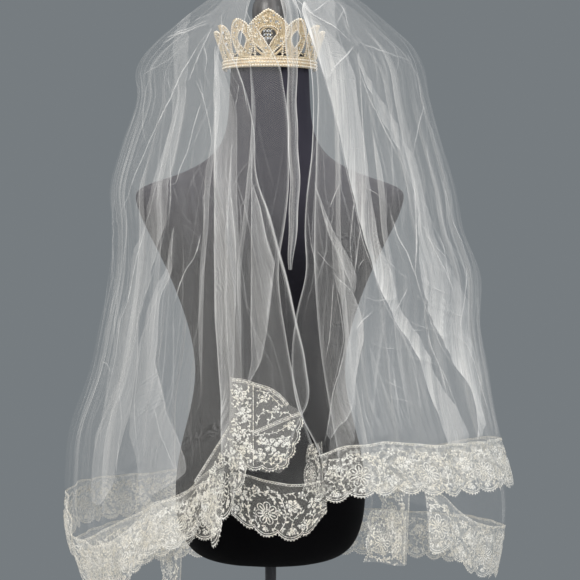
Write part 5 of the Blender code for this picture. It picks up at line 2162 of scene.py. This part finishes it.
class ClothLook(bpy.types.PropertyGroup):
    """Tulle of both tiers."""

    tulle_colour: colour_value("Tulle colour", "Colour of the tulle's threads", (0.90, 0.885, 0.86))
    tulle_cell: length_value("Net cell", "Width of one cell of the tulle's net", 0.00125)
    tulle_cover: bpy.props.FloatProperty(
        name="Cover", description="Share of light that one layer of tulle stops", default=0.07,
        subtype="FACTOR", min=0.05, max=0.6,
    )


class LaceLook(bpy.types.PropertyGroup):
    """Lace edging of both tiers."""

    lace_colour: colour_value("Lace colour", "Colour of the lace's thread", (0.95, 0.92, 0.855))
    lace_cell: length_value("Ground cell", "Width of one cell of the lace's net ground", 0.0017)


class TiaraLook(bpy.types.PropertyGroup):
    """Pearls, beads and wire of the tiara."""

    pearl_width: length_value("Pearl width", "Width of a pearl of the band", 0.0037)
    pearl_colour: colour_value("Pearl colour", "Colour of the pearls", (0.93, 0.86, 0.72))
    bead_colour: colour_value("Bead colour", "Colour of the seed beads", (0.86, 0.73, 0.50))
    wire_colour: colour_value("Wire colour", "Colour of the band and wires", (0.78, 0.63, 0.42))


class FormLook(bpy.types.PropertyGroup):
    """Dress form and comb."""

    jersey_colour: colour_value("Jersey colour", "Colour of the form's cover", (0.0130, 0.0122, 0.0160))
    wood_colour: colour_value("Wood colour", "Colour of the finial", (0.15, 0.145, 0.145))
    satin_colour: colour_value("Satin colour", "Colour of the comb's binding", (0.84, 0.80, 0.73))


class StageLook(bpy.types.PropertyGroup):
    """Floor, backdrop and lights."""

    floor_colour: colour_value("Floor colour", "Colour of the pale floor", (0.62, 0.62, 0.61))
    floor_radius: length_value("Floor radius", "Radius of the round floor", 0.33)
    room_colour: colour_value("Room colour", "Colour of the plain room behind", (0.182, 0.202, 0.216))
    key_power: bpy.props.FloatProperty(
        name="Key light", description="Power of the key light", default=62.0, unit="POWER"
    )


class VEIL_OT_tulle(bpy.types.Operator):
    """Drape both tiers of tulle"""

    bl_idname = "veil.tulle"
    bl_label = "Drape the tulle"

    def execute(self, context):
        look = context.scene.veil_cloth
        for tier, side, rows, columns, pleats, creases, fine, seeded in tulle_plan():
            make_tulle(tier, side, rows, columns, pleats, creases, fine, seeded, look)
        return {"FINISHED"}


class VEIL_OT_lace(bpy.types.Operator):
    """Sew the lace edging on both tiers"""

    bl_idname = "veil.lace"
    bl_label = "Sew the lace"

    def execute(self, context):
        look = context.scene.veil_lace
        for tier in (UPPER, LOWER):
            for side in (-1, 0, 1):
                make_lace(tier, side, look)
        make_flap(look)
        make_strip(context.scene.veil_cloth)
        return {"FINISHED"}


class VEIL_OT_tiara(bpy.types.Operator):
    """String the tiara's pearls, beads and stones"""

    bl_idname = "veil.tiara"
    bl_label = "Bead the tiara"

    def execute(self, context):
        make_tiara(context.scene.veil_tiara)
        return {"FINISHED"}


class VEIL_OT_form(bpy.types.Operator):
    """Dress the form and the comb"""

    bl_idname = "veil.form"
    bl_label = "Finish the form"

    def execute(self, context):
        make_form(context.scene.veil_form)
        make_comb(context.scene.veil_form)
        return {"FINISHED"}


class VEIL_OT_stage(bpy.types.Operator):
    """Set the camera, the floor, the backdrop and the lights"""

    bl_idname = "veil.stage"
    bl_label = "Set the stage"

    def execute(self, context):
        make_stage(context.scene.veil_stage)
        return {"FINISHED"}


class VEIL_PT_sidebar(bpy.types.Panel):
    """Lists the steps that dress the form"""

    bl_idname = "VEIL_PT_sidebar"
    bl_label = "Bridal Veil"
    bl_space_type = "VIEW_3D"
    bl_region_type = "UI"
    bl_category = "Veil"

    def draw(self, context):
        for operator in OPERATORS:
            self.layout.operator(operator.bl_idname)
        for group_name, group in GROUPS.items():
            box = self.layout.box()
            for value_name in group.__annotations__:
                box.prop(getattr(context.scene, group_name), value_name)


GROUPS = {
    "veil_cloth": ClothLook,
    "veil_lace": LaceLook,
    "veil_tiara": TiaraLook,
    "veil_form": FormLook,
    "veil_stage": StageLook,
}
OPERATORS = (VEIL_OT_stage, VEIL_OT_form, VEIL_OT_tulle, VEIL_OT_lace, VEIL_OT_tiara)
CLASSES = (*GROUPS.values(), *OPERATORS, VEIL_PT_sidebar)


def register():
    for made in CLASSES:
        bpy.utils.register_class(made)
    for group_name, group in GROUPS.items():
        setattr(bpy.types.Scene, group_name, bpy.props.PointerProperty(type=group))


def unregister():
    for group_name in GROUPS:
        delattr(bpy.types.Scene, group_name)
    for made in reversed(CLASSES):
        bpy.utils.unregister_class(made)


def main():
    register()
    bpy.ops.veil.stage()
    bpy.ops.veil.form()
    bpy.ops.veil.tulle()
    bpy.ops.veil.lace()
    bpy.ops.veil.tiara()


if __name__ == "__main__":
    main()
